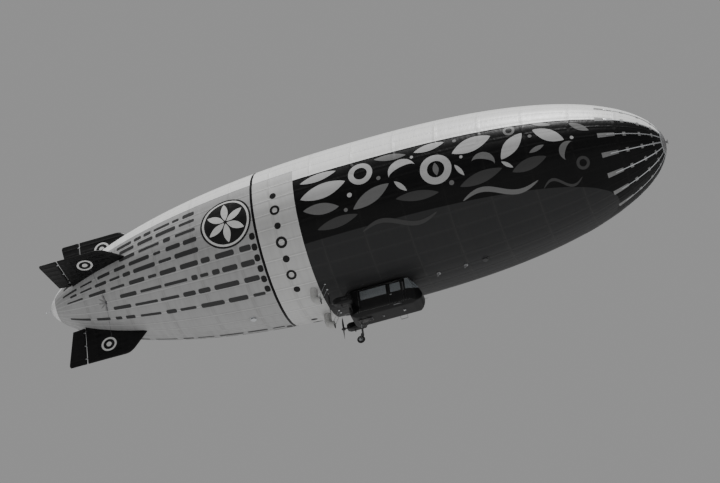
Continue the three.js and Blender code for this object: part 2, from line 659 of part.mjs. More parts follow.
function bladeRing([share, chord, thick, pitch]) {
  const outline = [[-0.5, 0], [-0.25, 0.45], [0.1, 0.5], [0.5, 0], [0.1, -0.5], [-0.25, -0.45]];
  const angle = THREE.MathUtils.degToRad(pitch);
  const mid = (PROPELLER.front + PROPELLER.rear) / 2 + 20;
  return outline.map(([a, b]) => {
    const [across, deep] = [a * chord, b * thick];
    return [
      mid + across * Math.sin(angle) + deep * Math.cos(angle),
      across * Math.cos(angle) - deep * Math.sin(angle),
      share * PROPELLER.radius,
    ];
  });
}

function propeller() {
  const { front, rear, hub } = PROPELLER;
  const spinner = turned([[rear, 0], [rear + 25, 45], [rear + 80, 80], [rear + 130, hub], [front, hub],
    [front, 0]], 'x', 20);
  const blade = loft(BLADE.map(bladeRing));
  return joined(spinner, blade, blade.rotate([180, 0, 0]));
}

// A duct that hangs from the envelope and turns forward to an open mouth in the wash
function airScoop() {
  const path = new THREE.CurvePath();
  const top = new THREE.Vector3(SCOOP.x, 0, -4400);
  const bend = new THREE.Vector3(SCOOP.x, 0, SCOOP.bendZ);
  const corner = new THREE.Vector3(SCOOP.x, 0, SCOOP.mouthZ);
  const mouth = new THREE.Vector3(SCOOP.mouthX, 0, SCOOP.mouthZ - 40);
  path.add(new THREE.LineCurve3(top, bend));
  path.add(new THREE.QuadraticBezierCurve3(bend, corner, mouth));
  const duct = (radius) => {
    const circle = new THREE.Shape(new THREE.EllipseCurve(0, 0, radius, radius).getPoints(14).slice(0, -1));
    return solid(new THREE.ExtrudeGeometry(circle, { steps: 9, extrudePath: path }));
  };
  const mouthBore = rod([SCOOP.mouthX - 60, 0, mouth.z + 6], [SCOOP.mouthX + 60, 0, mouth.z - 6],
    SCOOP.radius - SCOOP.wall, 16);
  return duct(SCOOP.radius).subtract(duct(SCOOP.radius - SCOOP.wall)).subtract(mouthBore);
}

const [cowlShape, engineShape, propellerShape, scoopShape] = [cowl(), engine(), propeller(), airScoop()];

for (const { side, sign } of SIDES) {
  const [y, z] = [sign * ENGINE.y, ENGINE.z];
  place(`outrigger_${side}`, outrigger(sign), 'gondola');
  place(`cowl_${side}`, cowlShape.translate([0, y, z]), 'gondola');
  place(`engine_${side}`, engineShape.translate([0, y, z]), 'engine');
  place(`propeller_${side}`, propellerShape.translate([0, y, z]), 'blade');
  place(`air_scoop_${side}`, scoopShape.translate([0, y, 0]).subtract(envelopeClear), 'duct');
}

// Landing gear: a braced leg under the floor, and a fork that swivels on it with one wheel

function landingLeg() {
  const top = CABIN.bottom - SKIN_GAP;
  const plate = box([GEAR.x - 140, GEAR.x + 760], [-170, 170], [top - 30, top]);
  const leg = rod([GEAR.x, 0, LEG.foot], [GEAR.x, 0, top - 10], LEG.radius, 20);
  const bore = rod([GEAR.x, 0, LEG.foot - 10], [GEAR.x, 0, LEG.foot + LEG.depth + 8], LEG.bore, 16);
  const braces = SIDES.map(({ sign }) => rod(
    [GEAR.x + 20, 0, LEG.foot + 330], [GEAR.x + 660, sign * 110, top - 45], 26, 10));
  return joined(plate, leg, ...braces).subtract(bore);
}

function casterFork() {
  const { x, wheelX, wheelZ } = GEAR;
  const crown = [LEG.foot - 68, LEG.foot - 8];
  const inner = GEAR.tyreHalf + 18;
  const outer = inner + 22;
  const pin = rod([x, 0, crown[0] + 20], [x, 0, LEG.foot + LEG.depth], LEG.pin, 16);
  const head = rod([x, 0, crown[0]], [x, 0, crown[1]], 70, 20);
  const bridge = box([x - 75, x + 45], [-outer, outer], crown);
  const axle = rod([wheelX, -outer - 18, wheelZ], [wheelX, outer + 18, wheelZ], 18, 16);
  const blade = [[x - 75, crown[1]], [x + 45, crown[1]], [wheelX + 45, wheelZ - 30],
    [wheelX - 10, wheelZ - 48], [wheelX - 45, wheelZ]];
  const legs = SIDES.map(({ sign }) => {
    const reach = [sign * inner, sign * outer].sort((a, b) => a - b);
    return prism(blade, 'y', ...reach);
  });
  return joined(pin, head, bridge, axle, ...legs);
}

// Wheel profiles: [along the axle, radius]
function rim() {
  const { rimRadius, tyreHalf } = GEAR;
  const disc = turned([[-58, 24], [58, 24], [58, 46], [20, 52], [20, rimRadius - 22],
    [tyreHalf - 20, rimRadius - 14], [tyreHalf - 20, rimRadius], [20 - tyreHalf, rimRadius],
    [20 - tyreHalf, rimRadius - 14], [-20, rimRadius - 22], [-20, 52], [-58, 46], [-58, 24]], 'y', 24);
  return disc.translate([GEAR.wheelX, 0, GEAR.wheelZ]);
}

function tyre() {
  const { tyreRadius, tyreHalf } = GEAR;
  const bead = GEAR.rimRadius + SKIN_GAP;
  const ring = turned([[22 - tyreHalf, bead], [tyreHalf - 22, bead], [tyreHalf - 4, bead + 25],
    [tyreHalf, bead + 52], [tyreHalf - 12, tyreRadius - 22], [tyreHalf - 38, tyreRadius - 4], [0, tyreRadius],
    [38 - tyreHalf, tyreRadius - 4], [12 - tyreHalf, tyreRadius - 22], [-tyreHalf, bead + 52],
    [4 - tyreHalf, bead + 25], [22 - tyreHalf, bead]], 'y', 32);
  return ring.translate([GEAR.wheelX, 0, GEAR.wheelZ]);
}

place('landing_leg', landingLeg(), 'metal');
place('caster_fork', casterFork(), 'metal');
place('wheel_rim', rim(), 'metal');
place('tyre', tyre(), 'rubber');

export default airship;
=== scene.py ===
import math
import random

import bpy
from mathutils import Matrix, Vector
from mathutils.bvhtree import BVHTree


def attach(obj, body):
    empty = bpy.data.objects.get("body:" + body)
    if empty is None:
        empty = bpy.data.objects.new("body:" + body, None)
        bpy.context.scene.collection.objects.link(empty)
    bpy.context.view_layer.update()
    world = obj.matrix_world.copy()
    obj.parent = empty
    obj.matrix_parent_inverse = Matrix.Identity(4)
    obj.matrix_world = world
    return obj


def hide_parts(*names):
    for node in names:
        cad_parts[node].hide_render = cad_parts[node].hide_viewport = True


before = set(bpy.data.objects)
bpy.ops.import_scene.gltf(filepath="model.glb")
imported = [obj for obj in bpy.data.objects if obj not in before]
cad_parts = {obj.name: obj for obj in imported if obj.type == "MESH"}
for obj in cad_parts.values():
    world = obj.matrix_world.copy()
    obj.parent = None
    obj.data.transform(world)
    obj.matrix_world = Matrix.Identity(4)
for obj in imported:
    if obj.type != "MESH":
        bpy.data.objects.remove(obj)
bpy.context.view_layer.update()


# Camera: it stands on the ground far below the airship, off its starboard bow, at the photograph's angle. The
# long lens draws the airship large from the photograph's own distance.
VIEW_AZIMUTH = math.radians(13)
VIEW_ELEVATION = math.radians(-37)
VIEW_ROLL = math.radians(7.5)
VIEW_DISTANCE = 220
VIEW_AIM = Vector((-1.2, 0, -1.1))
VIEW_LENS = 183
EYE_HEIGHT = 1.6


def bearing(azimuth, elevation):
    """A direction out from the airship: its azimuth from starboard towards the nose, and its elevation."""
    level = math.cos(elevation)
    return Vector((math.sin(azimuth) * level, -math.cos(azimuth) * level, math.sin(elevation)))


toward_camera = bearing(VIEW_AZIMUTH, VIEW_ELEVATION)
bpy.ops.object.camera_add(location=VIEW_AIM + toward_camera * VIEW_DISTANCE)
camera = bpy.context.active_object
camera.name = "photograph_camera"
camera.data.sensor_width = 36
camera.data.lens = VIEW_LENS
camera.data.clip_end = 5000
camera.rotation_mode = "QUATERNION"
level_gaze = (-toward_camera).to_track_quat("-Z", "Y")
camera.rotation_quaternion = level_gaze @ Matrix.Rotation(-VIEW_ROLL, 3, "Z").to_quaternion()
bpy.context.scene.camera = camera


# Ground and light: a plain pale floor at the camera's feet, a broad soft sun high off the starboard bow,
# and an even pale sky. The floor is clear from underneath, so that a view from below it isn't blocked.
FLOOR_SIZE = 2400
FLOOR_GREY = 0.5
SKY_GREY = 0.30
SUN_STRENGTH = 3.9
SUN_SPREAD = math.radians(14)
SUN_AZIMUTH = math.radians(28)
SUN_ELEVATION = math.radians(72)


def add(tree, kind, inputs=(), **settings):
    """A new shader node with its settings, its inputs given as values or as other nodes' sockets."""
    made = tree.nodes.new(kind)
    for name, value in settings.items():
        setattr(made, name, value)
    for name, value in dict(inputs).items():
        if isinstance(value, bpy.types.NodeSocket):
            tree.links.new(value, made.inputs[name])
        else:
            made.inputs[name].default_value = value
    return made


def new_material(name):
    """An empty node material and its output node."""
    material = bpy.data.materials.new(name)
    material.use_nodes = True
    material.node_tree.nodes.clear()
    return material, add(material.node_tree, "ShaderNodeOutputMaterial")


def grey(value):
    return (value, value, value, 1)


def floor_material():
    material, output = new_material("pale_floor")
    tree = material.node_tree
    matt = add(tree, "ShaderNodeBsdfDiffuse", {"Color": grey(FLOOR_GREY)})
    clear = add(tree, "ShaderNodeBsdfTransparent")
    side = add(tree, "ShaderNodeNewGeometry")
    mix = add(tree, "ShaderNodeMixShader", {
        0: side.outputs["Backfacing"], 1: matt.outputs[0], 2: clear.outputs[0],
    })
    tree.links.new(mix.outputs[0], output.inputs["Surface"])
    return material


bpy.ops.mesh.primitive_plane_add(size=FLOOR_SIZE, location=(0, 0, camera.location.z - EYE_HEIGHT))
floor = bpy.context.active_object
floor.name = "floor"
floor.data.materials.append(floor_material())

bpy.ops.object.light_add(type="SUN", location=(0, 0, 60))
sun = bpy.context.active_object
sun.name = "soft_sun"
sun.data.energy = SUN_STRENGTH
sun.data.angle = SUN_SPREAD
sun.rotation_mode = "QUATERNION"
sun.rotation_quaternion = bearing(SUN_AZIMUTH, SUN_ELEVATION).to_track_quat("Z", "Y")

sky = bpy.data.worlds.new("even_sky")
sky.use_nodes = True
sky.node_tree.nodes["Background"].inputs["Color"].default_value = grey(SKY_GREY)
bpy.context.scene.world = sky


# Envelope: the gas bag of coated polyester, cut in long gores that bulge a little between their seams. Inner
# curtains carry the gondola from the crown, and draw a shallow scalloped crease along each upper side.
RADIUS = 5.0
NOSE_X = 18.0
STERN_X = -21.0
WIDEST_X = 0.45
NOSE_CURVE = (2.4, 0.5)
STERN_CURVE = (2.3, 0.62)
GORES = 32
STEPS_PER_GORE = 6
RINGS = 150
GORE_BULGE = 0.022
PANEL_LENGTH = 2.6
CREASE = {"turn": math.radians(31), "from": -9.0, "to": 9.5, "fade": 2, "depth": 0.05, "width": 0.42,
          "scallop": 1.15}
SOIL_COLOR = (0.075, 0.072, 0.066, 1)

# Paint edges along the hull in metres, round it in degrees above the horizontal, and the belly's level
BAND_FRONT = -3.7
BAND_REAR = -6.3
RIM_FRONT = -20.45
LINE_WIDTH = 0.16
FIELD_TOP = 11.0
# REAR_TOP: the crown's edge over the band and the rear; below it the rear panel's grey carries painted shade
REAR_TOP = 22.2
BELLY_LEVEL = -3.15
PAINT_EDGES = (BAND_FRONT, BAND_REAR, BAND_REAR - LINE_WIDTH, RIM_FRONT)


def skin_radius(x):
    """The envelope's radius at a station."""
    tip, (inner, outer) = (NOSE_X, NOSE_CURVE) if x > WIDEST_X else (STERN_X, STERN_CURVE)
    share = min((x - WIDEST_X) / (tip - WIDEST_X), 1)
    return RADIUS * (1 - share**inner) ** outer


def station_of(radius, tip, curve):
    """The station between the widest place and a tip where the envelope has a radius."""
    inner, outer = curve
    return WIDEST_X + (tip - WIDEST_X) * (1 - (radius / RADIUS) ** (1 / outer)) ** (1 / inner)


def nose_station(radius):
    return station_of(radius, NOSE_X, NOSE_CURVE)


def stern_station(radius):
    return station_of(radius, STERN_X, STERN_CURVE)


def crease_depth(x, turn):
    """How far the inner curtains pull the skin in at a place. The crease fades out past both its ends."""
    past = CREASE["fade"]
    if not CREASE["from"] - past < x < CREASE["to"] + past:
        return 0
    from_crown = abs((turn + math.pi) % (2 * math.pi) - math.pi)
    across = (from_crown - CREASE["turn"]) * skin_radius(x) / CREASE["width"]
    ends = min(1, (x - CREASE["from"] + past) / past, (CREASE["to"] + past - x) / past)
    pull = 0.8 + 0.2 * math.cos(2 * math.pi * x / CREASE["scallop"])
    return CREASE["depth"] * ends * pull * math.exp(-across * across)


def skin_point(x, turn, lift=0.0):
    """The place on the skin at a station, at an angle from the crown towards starboard."""
    radius = skin_radius(x)
    gore = turn / (2 * math.pi) * GORES
    bulge = GORE_BULGE * radius / RADIUS * abs(math.sin(math.pi * gore))
    out = radius + bulge - crease_depth(x, turn) + lift
    return Vector((x, -out * math.sin(turn), out * math.cos(turn)))


def clear_selection():
    for piece in bpy.context.selected_objects:
        piece.select_set(False)


def activate(piece):
    clear_selection()
    piece.select_set(True)
    bpy.context.view_layer.objects.active = piece


def start(name, primitive, **sizes):
    """A new piece from one of Blender's primitives, with everything else deselected first."""
    clear_selection()
    primitive(**sizes)
    piece = bpy.context.active_object
    piece.name = name
    piece.data.name = name
    return piece


def enter_edit(piece):
    """Opens a piece in edit mode with everything selected."""
    activate(piece)
    bpy.ops.object.mode_set(mode="EDIT")
    bpy.ops.mesh.select_all(action="SELECT")


def select_faces(piece, wanted):
    """Leaves the piece in edit mode with the faces selected that a test picks."""
    enter_edit(piece)
    bpy.ops.mesh.select_mode(type="FACE")
    bpy.ops.mesh.select_all(action="DESELECT")
    bpy.ops.object.mode_set(mode="OBJECT")
    for face in piece.data.polygons:
        face.select = bool(wanted(face))
    bpy.ops.object.mode_set(mode="EDIT")


def leave_edit():
    bpy.ops.object.mode_set(mode="OBJECT")


def close_up(piece, fill=False):
    """Merges doubled points, closes open ends if asked, and turns all faces outwards."""
    enter_edit(piece)
    bpy.ops.mesh.remove_doubles(threshold=0.0004)
    bpy.ops.mesh.delete_loose()
    bpy.ops.mesh.select_all(action="SELECT")
    if fill:
        bpy.ops.mesh.fill_holes(sides=0)
        bpy.ops.mesh.select_all(action="SELECT")
    bpy.ops.mesh.normals_make_consistent(inside=False)
    leave_edit()


def face_outwards(piece):
    """Turns every face of a patch on the hull away from the gas."""
    for face in piece.data.polygons:
        away = Vector(((face.center.x - WIDEST_X) * 0.08, face.center.y, face.center.z))
        if face.normal.dot(away) < 0:
            face.flip()


def modify(piece, kind, **settings):
    """Adds a modifier and applies it."""
    activate(piece)
    modifier = piece.modifiers.new(kind.lower(), kind)
    for name, value in settings.items():
        setattr(modifier, name, value)
    bpy.ops.object.modifier_apply(modifier=modifier.name)


def round_edges(piece, width, angle=50):
    modify(piece, "BEVEL", width=width, segments=2, limit_method="ANGLE", angle_limit=math.radians(angle),
           use_clamp_overlap=False)


def join(name, parts):
    clear_selection()
    for part in parts:
        part.select_set(True)
    bpy.context.view_layer.objects.active = parts[0]
    if len(parts) > 1:
        bpy.ops.object.join()
    parts[0].name = name
    parts[0].data.name = name
    return parts[0]


def paint(piece, *materials):
    piece.data.materials.clear()
    for material in materials:
        piece.data.materials.append(material)


def smooth(piece, angle=35):
    activate(piece)
    bpy.ops.object.shade_smooth_by_angle(angle=math.radians(angle))


def shade_flat(piece):
    for face in piece.data.polygons:
        face.use_smooth = False


def settle(piece, body, slot, *nodes):
    """Puts the finished piece's place into its mesh, and fixes it to a body in place of the CAD nodes."""
    activate(piece)
    bpy.ops.object.transform_apply(location=True, rotation=True, scale=True)
    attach(piece, body)
    if nodes:
        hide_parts(*nodes)


def open_group(name, **asked):
    """A new shader node group that gives a surface, a maker of Math nodes in it, and what it asks for."""
    group = bpy.data.node_groups.new(name, "ShaderNodeTree")
    given = {"Color": "Color", "Roughness": "Float", "Normal": "Vector"}
    for sockets, way in ((asked, "INPUT"), (given, "OUTPUT")):
        for label, kind in sockets.items():
            group.interface.new_socket(label, in_out=way, socket_type=f"NodeSocket{kind}")

    def work(operation, first, second=0.0, third=0.0):
        return add(group, "ShaderNodeMath", {0: first, 1: second, 2: third}, operation=operation).outputs[0]

    return group, work, group.nodes.new("NodeGroupInput").outputs


def close_group(group, color, roughness, height, strength, distance):
    """Gives out a group's colour, its roughness, and the normal of its small relief."""
    relief = {"Height": height, "Strength": strength, "Distance": distance}
    normal = add(group, "ShaderNodeBump", relief).outputs[0]
    given = group.nodes.new("NodeGroupOutput").inputs
    for socket, value in (("Color", color), ("Roughness", roughness), ("Normal", normal)):
        group.links.new(value, given[socket])
    return group


def noise(tree, place, scale, detail, roughness=0.5):
    settings = {"Vector": place, "Scale": scale, "Detail": detail, "Roughness": roughness}
    return add(tree, "ShaderNodeTexNoise", settings).outputs[0]


def ramp(tree, value, low, high, first=0.0, last=1.0):
    """A value taken from one range to another."""
    settings = {"Value": value, "From Min": low, "From Max": high, "To Min": first, "To Max": last}
    return add(tree, "ShaderNodeMapRange", settings).outputs[0]


def mixed(tree, share, first, second):
    """One colour mixed into another by a share."""
    settings = {"Factor": share, "A": first, "B": second}
    return add(tree, "ShaderNodeMix", settings, data_type="RGBA").outputs["Result"]


def scaled(tree, color, factor):
    return add(tree, "ShaderNodeVectorMath", {0: color, "Scale": factor}, operation="SCALE").outputs[0]


def weathered_fabric_group():
    """Coated fabric outdoors: soil along the seams, cross seams, rain streaks and small puckers."""
    group, work, asked = open_group(
        "weathered_fabric", Color="Color", Soil="Float", Gores="Float", Roughness="Float", Pucker="Float")
    place = add(group, "ShaderNodeTexCoord").outputs["Object"]
    axes = add(group, "ShaderNodeSeparateXYZ", {0: place}).outputs
    turn = work("ARCTAN2", axes["Y"], axes["Z"])
    from_seam = work("PINGPONG", work("MULTIPLY", turn, GORES / (2 * math.pi)), 0.5)
    from_joint = work("PINGPONG", work("MULTIPLY", axes["X"], 1 / PANEL_LENGTH), 0.5)
    from_edge = work("SMOOTH_MIN", from_seam, work("MULTIPLY", from_joint, PANEL_LENGTH), 0.02)
    near = ramp(group, from_edge, 0.0, 0.16, 1.0, 0.0)
    cross_seam = ramp(group, from_joint, 0.008, 0.012, 1.0, 0.0)

    run = work("MULTIPLY", axes["X"], 2.4)
    unrolled = add(group, "ShaderNodeCombineXYZ", {0: run, 1: turn, 2: 0.0}).outputs[0]
    evenly = add(group, "ShaderNodeCombineXYZ", {0: run, 1: work("MULTIPLY", turn, 5.0), 2: 0.0}).outputs[0]
    streaks = noise(group, unrolled, 1.6, 5.0, 0.62)
    clouds = noise(group, place, 0.22, 6.0, 0.6)
    specks = noise(group, place, 6.0, 4.0, 0.7)
    ripple = noise(group, evenly, 2.6, 3.0, 0.45)

    stained = work("MULTIPLY", streaks, clouds)
    dirt = work("MULTIPLY_ADD", work("MULTIPLY", near, asked["Gores"]), 0.3, stained)
    amount = work("MULTIPLY", ramp(group, dirt, 0.18, 0.62), asked["Soil"])
    soiled = mixed(group, amount, asked["Color"], SOIL_COLOR)
    brighter = work("MULTIPLY_ADD", work("MULTIPLY", cross_seam, asked["Gores"]), 0.16, 1.0)
    rough = work("MULTIPLY_ADD", specks, 0.18, work("MULTIPLY_ADD", amount, 0.3, asked["Roughness"]))
    puckers = work("MULTIPLY", ripple, work("MULTIPLY_ADD", near, 0.9, 0.25))
    height = work("MULTIPLY", work("MULTIPLY_ADD", specks, 0.12, puckers), asked["Pucker"])
    shown = scaled(group, soiled, brighter)
    return close_group(group, shown, work("SUBTRACT", rough, 0.09), height, 0.5, 0.06)


weathered_fabric = weathered_fabric_group()


def grouped_material(name, group, values, shader):
    """A material whose surface comes from a group with these values, on a shader with its own settings."""
    material, output = new_material(name)
    tree = material.node_tree
    surface = add(tree, "ShaderNodeGroup", values, node_tree=group).outputs
    body = add(tree, "ShaderNodeBsdfPrincipled", {
        "Base Color": surface["Color"], "Roughness": surface["Roughness"], "Normal": surface["Normal"],
        **shader,
    })
    tree.links.new(body.outputs[0], output.inputs["Surface"])
    return material


def fabric_material(name, color, soil, rough, gloss, pucker=0.6, gores=0.0):
    """Coated fabric of one colour, finished by the weathered fabric group."""
    return grouped_material(name, weathered_fabric, {
        "Color": (*color, 1), "Soil": soil, "Gores": gores, "Roughness": rough, "Pucker": pucker,
    }, {"Specular IOR Level": gloss})


# The rear panel's grey under its rows of bars is partly the panel's own tone and partly painted shade: its
# sides are painted darker than the white crown above them, as sides turned away from the high sun.
# paint, colour, soil, roughness, gloss
HULL_PAINTS = (
    ("white", (0.82, 0.82, 0.81), 0.25, 0.36, 0.4),
    ("pale_grey", (0.33, 0.33, 0.33), 0.35, 0.42, 0.3),
    ("band_grey", (0.48, 0.48, 0.475), 0.3, 0.4, 0.3),
    ("black", (0.0035, 0.0035, 0.0037), 0.04, 0.34, 0.12),
    ("charcoal", (0.024, 0.0243, 0.025), 0.12, 0.42, 0.14),
)
PAINT_NAMES = [entry[0] for entry in HULL_PAINTS]
hull_paints = [fabric_material(f"hull_{name}", color, soil, rough, gloss, pucker=1.0, gores=1.0)
               for name, color, soil, rough, gloss in HULL_PAINTS]


def paint_of(place):
    """Which paint covers a place on the hull."""
    height = math.degrees(math.atan2(place.z, abs(place.y)))
    if place.x < RIM_FRONT:
        return "white"
    if place.x < BAND_REAR:
        if place.x > BAND_REAR - LINE_WIDTH:
            return "black"
        # Rear panel: white crown on top, and on the sides a grey that is partly painted shade.
        return "white" if height > REAR_TOP else "pale_grey"
    if place.x < BAND_FRONT:
        return "white" if height > REAR_TOP else "band_grey"
    if height > FIELD_TOP:
        return "white"
    return "black" if place.z > BELLY_LEVEL else "charcoal"


def paint_hull(piece, materials):
    """Cuts the belly's level edge into the mesh ahead of the band, then paints each face by its place."""
    select_faces(piece, lambda face: face.center.x > BAND_FRONT)
    bpy.ops.mesh.bisect(plane_co=(0, 0, BELLY_LEVEL), plane_no=(0, 0, 1))
    leave_edit()
    paint(piece, *materials)
    for face in piece.data.polygons:
        face.material_index = PAINT_NAMES.index(paint_of(face.center))
        face.use_smooth = True


def hull_stations():
    """Ring places from nose to stern, closer together at the ends, with one ring on every paint edge."""
    places = []
    for i in range(RINGS + 1):
        share = math.cos(math.pi * i / RINGS)
        reach = NOSE_X - WIDEST_X if share > 0 else WIDEST_X - STERN_X
        places.append(WIDEST_X + share * reach)
    for edge in PAINT_EDGES:
        nearest = min(range(1, RINGS), key=lambda i: abs(places[i] - edge))
        places[nearest] = edge
    return places


stations = hull_stations()
envelope = start("envelope_skin", bpy.ops.mesh.primitive_uv_sphere_add,
                 segments=GORES * STEPS_PER_GORE, ring_count=RINGS, radius=1)
for vertex in envelope.data.vertices:
    ring_number = round(math.acos(max(-1, min(1, vertex.co.z))) / math.pi * RINGS)
    vertex.co = skin_point(stations[ring_number], math.atan2(vertex.co.y, vertex.co.x))
paint_hull(envelope, hull_paints)
settle(envelope, "hull", "envelope", "envelope")


# Seam tapes: a strip of the same coated fabric is welded over every gore seam, from the nose cone to the
# stern. It is painted over with the hull, looks a little lighter, and stands just proud of the skin.
TAPE_HALF = 0.035
TAPE_THICK = 0.003
TAPE_LIFT = 0.0005
TAPE_ENDS = (17.86, -20.86)
TAPE_LIGHTER = 1.2
TAPE_LIGHTEST = 0.86


def flat_grid(name, along, across):
    """A flat square grid, whose points are then moved into a sheet."""
    return start(name, bpy.ops.mesh.primitive_grid_add, x_subdivisions=along, y_subdivisions=across, size=1)


tape_paints = []
for name, color, soil, rough, gloss in HULL_PAINTS:
    lighter = tuple(min(TAPE_LIGHTEST, part * TAPE_LIGHTER) for part in color)
    tape_paints.append(fabric_material(f"tape_{name}", lighter, soil, rough, gloss, pucker=0.5))
tape_stations = [x for x in stations if TAPE_ENDS[1] < x < TAPE_ENDS[0]]
tape_steps = len(tape_stations) - 1
strips = []
for seam in range(GORES):
    strip = flat_grid("tape", tape_steps, 1)
    for vertex in strip.data.vertices:
        x = tape_stations[round((vertex.co.x + 0.5) * tape_steps)]
        side = math.copysign(TAPE_HALF / skin_radius(x), vertex.co.y)
        vertex.co = skin_point(x, seam / GORES * 2 * math.pi + side, TAPE_LIFT)
    strips.append(strip)
tapes = join("seam_tapes", strips)
face_outwards(tapes)
paint_hull(tapes, tape_paints)
modify(tapes, "SOLIDIFY", thickness=TAPE_THICK, offset=1)
shade_flat(tapes)
settle(tapes, "hull", "envelope")


# Motifs: the bow's advertising field, appliqued in a plain design of drifting leaves, rings, crescents and
# long waves in greys. Each is a thin patch of coated fabric that follows the skin, alike on both sides.
PATCH_THICK = 0.004
PATCH_LIFT = 0.006
SIDES = (("starboard", -1), ("port", 1))
# kind, station, height in degrees, length, breadth, tilt in degrees, tone
MOTIFS = (
    ("leaf", -2.1, 6, 2.3, 0.6, 6, "pale"),
    ("leaf", -1.9, -6, 2.9, 1.0, 8, "pale"),
    ("leaf", -2.2, -19, 2.2, 0.7, -8, "mid"),
    ("leaf", -1.4, -31, 2.6, 0.6, 6, "dim"),
    ("disc", -0.35, -15, 0.3, 0.3, 0, "pale"),
    ("disc", -0.75, -24.5, 0.24, 0.24, 0, "mid"),
    ("ring", 0.5, -1, 1.5, 1.5, 0, "pale"),
    ("leaf", 0.9, -20, 2.6, 0.8, 22, "mid"),
    ("disc", 1.55, -8.5, 0.26, 0.26, 0, "mid"),
    ("leaf", 2.4, 6, 2.0, 0.5, -8, "mid"),
    ("leaf", 2.75, -18.5, 1.0, 0.3, -50, "pale"),
    ("leaf", 3.6, -28, 2.6, 0.6, -6, "dim"),
    ("crescent", 3.0, -8, 1.7, 1.7, 15, "pale"),
    ("wave", 2.2, -42, 4.6, 0.30, 0, "dim"),
    ("disc", 3.7, 1.2, 0.2, 0.2, 0, "pale"),
    ("leaf", 4.8, 6, 1.9, 0.55, 8, "pale"),
    ("ring", 5.0, -13, 1.9, 1.9, 0, "pale"),
    ("leaf", 5.0, -13, 0.84, 0.36, 90, "mid"),
    ("disc", 5.75, -25.5, 0.3, 0.3, 0, "mid"),
    ("leaf", 7.3, 0, 2.5, 1.0, 16, "pale"),
    ("leaf", 6.35, -18, 0.9, 0.26, -60, "pale"),
    ("leaf", 7.5, -27, 2.7, 0.7, 10, "dim"),
    ("disc", 6.35, 6.5, 0.24, 0.24, 0, "mid"),
    ("crescent", 7.8, -17, 1.4, 1.4, -20, "mid"),
    ("disc", 6.6, -8.5, 0.2, 0.2, 0, "pale"),
    ("leaf", 9.6, -8, 2.1, 0.85, 46, "pale"),
    ("leaf", 9.15, -22.5, 0.8, 0.24, -40, "pale"),
    ("wave", 8.4, -40, 4.6, 0.34, 0, "mid"),
    ("wave", 12.0, -48, 2.4, 0.2, 0, "dim"),
    ("ring", 9.6, 6, 0.7, 0.7, 0, "mid"),
    ("disc", 10.75, -2.5, 0.24, 0.24, 0, "mid"),
    ("leaf", 10.4, -26, 2.2, 0.7, 12, "dim"),
    ("leaf", 11.8, -4, 2.0, 0.8, -30, "pale"),
    ("leaf", 11.0, -15, 1.0, 0.3, 20, "mid"),
    ("leaf", 11.5, 8, 1.2, 0.3, -14, "mid"),
    ("crescent", 12.8, -22, 1.2, 1.2, 60, "mid"),
    ("disc", 13.1, -10, 0.22, 0.22, 0, "pale"),
    ("leaf", 13.6, 1, 1.3, 0.45, -30, "mid"),
    ("ring", 13.4, -36, 0.8, 0.8, 0, "dim"),
)
TONES = {"pale": 0.42, "mid": 0.15, "dim": 0.045}


def sheet_between(name, lower, upper, along, across, closed=False):
    """A flat sheet in the XY plane between two curves: a grid whose points are moved to lie between them."""
    sheet = flat_grid(name, along, across)
    for vertex in sheet.data.vertices:
        low, high = lower(vertex.co.x + 0.5), upper(vertex.co.x + 0.5)
        share = vertex.co.y + 0.5
        vertex.co = Vector((low[0] + (high[0] - low[0]) * share, low[1] + (high[1] - low[1]) * share, 0))
    if closed:
        close_up(sheet)
    return sheet


def leaf(length, breadth):
    def edge(side):
        return lambda t: (length * (t - 0.5), side * breadth / 2 * math.sin(math.pi * t) ** 0.8)
    return sheet_between("leaf", edge(-1), edge(1), 22, 5)


def wave(length, breadth):
    def edge(side):
        def point(t):
            swell = 0.35 * math.sin(2 * math.pi * t)
            return (length * (t - 0.5), swell + side * breadth / 2 * math.sin(math.pi * t) ** 0.5)
        return point
    return sheet_between("wave", edge(-1), edge(1), 36, 3)


def ring(outer, inner):
    def edge(size):
        return lambda t: (size / 2 * math.cos(2 * math.pi * t), size / 2 * math.sin(2 * math.pi * t))
    return sheet_between("ring", edge(outer), edge(inner), 48, 4, closed=True)


def crescent(size):
    def edge(squash):
        return lambda t: (size / 2 * math.cos(math.pi * t), size / 2 * squash * math.sin(math.pi * t))
    return sheet_between("crescent", edge(0.35), edge(1), 24, 5)


def disc(size):
    def edge(side):
        return lambda t: (-size / 2 * math.cos(math.pi * t), side * size / 2 * math.sin(math.pi * t))
    return sheet_between("disc", edge(-1), edge(1), 28, 14)


def lay_on_skin(patch, station, height, sign, tilt=0.0, lift=PATCH_LIFT):
    """Turns a flat patch, and lays it on the port (1) or starboard (-1) side so that it follows the skin."""
    turned_by = Matrix.Rotation(math.radians(tilt), 3, "Z")
    middle = skin_radius(station)
    slope = math.atan((skin_radius(station + 0.05) - skin_radius(station - 0.05)) / 0.1)
    for vertex in patch.data.vertices:
        flat = turned_by @ vertex.co
        x = station + flat.x * math.cos(slope)
        angle = math.radians(height) + flat.y / middle
        vertex.co = skin_point(x, -sign * (math.pi / 2 - angle), lift)
    return patch


def finish_patches(name, patches, material):
    """Joins patches of one colour, turns them outwards and gives them their cloth's thickness."""
    piece = join(name, patches)
    face_outwards(piece)
    modify(piece, "SOLIDIFY", thickness=PATCH_THICK, offset=1)
    shade_flat(piece)
    paint(piece, material)
    settle(piece, "hull", "envelope")


MOTIF_KINDS = {
    "leaf": leaf,
    "wave": wave,
    "ring": lambda length, breadth: ring(length, length * 0.55),
    "crescent": lambda length, breadth: crescent(length),
    "disc": lambda length, breadth: disc(length),
}

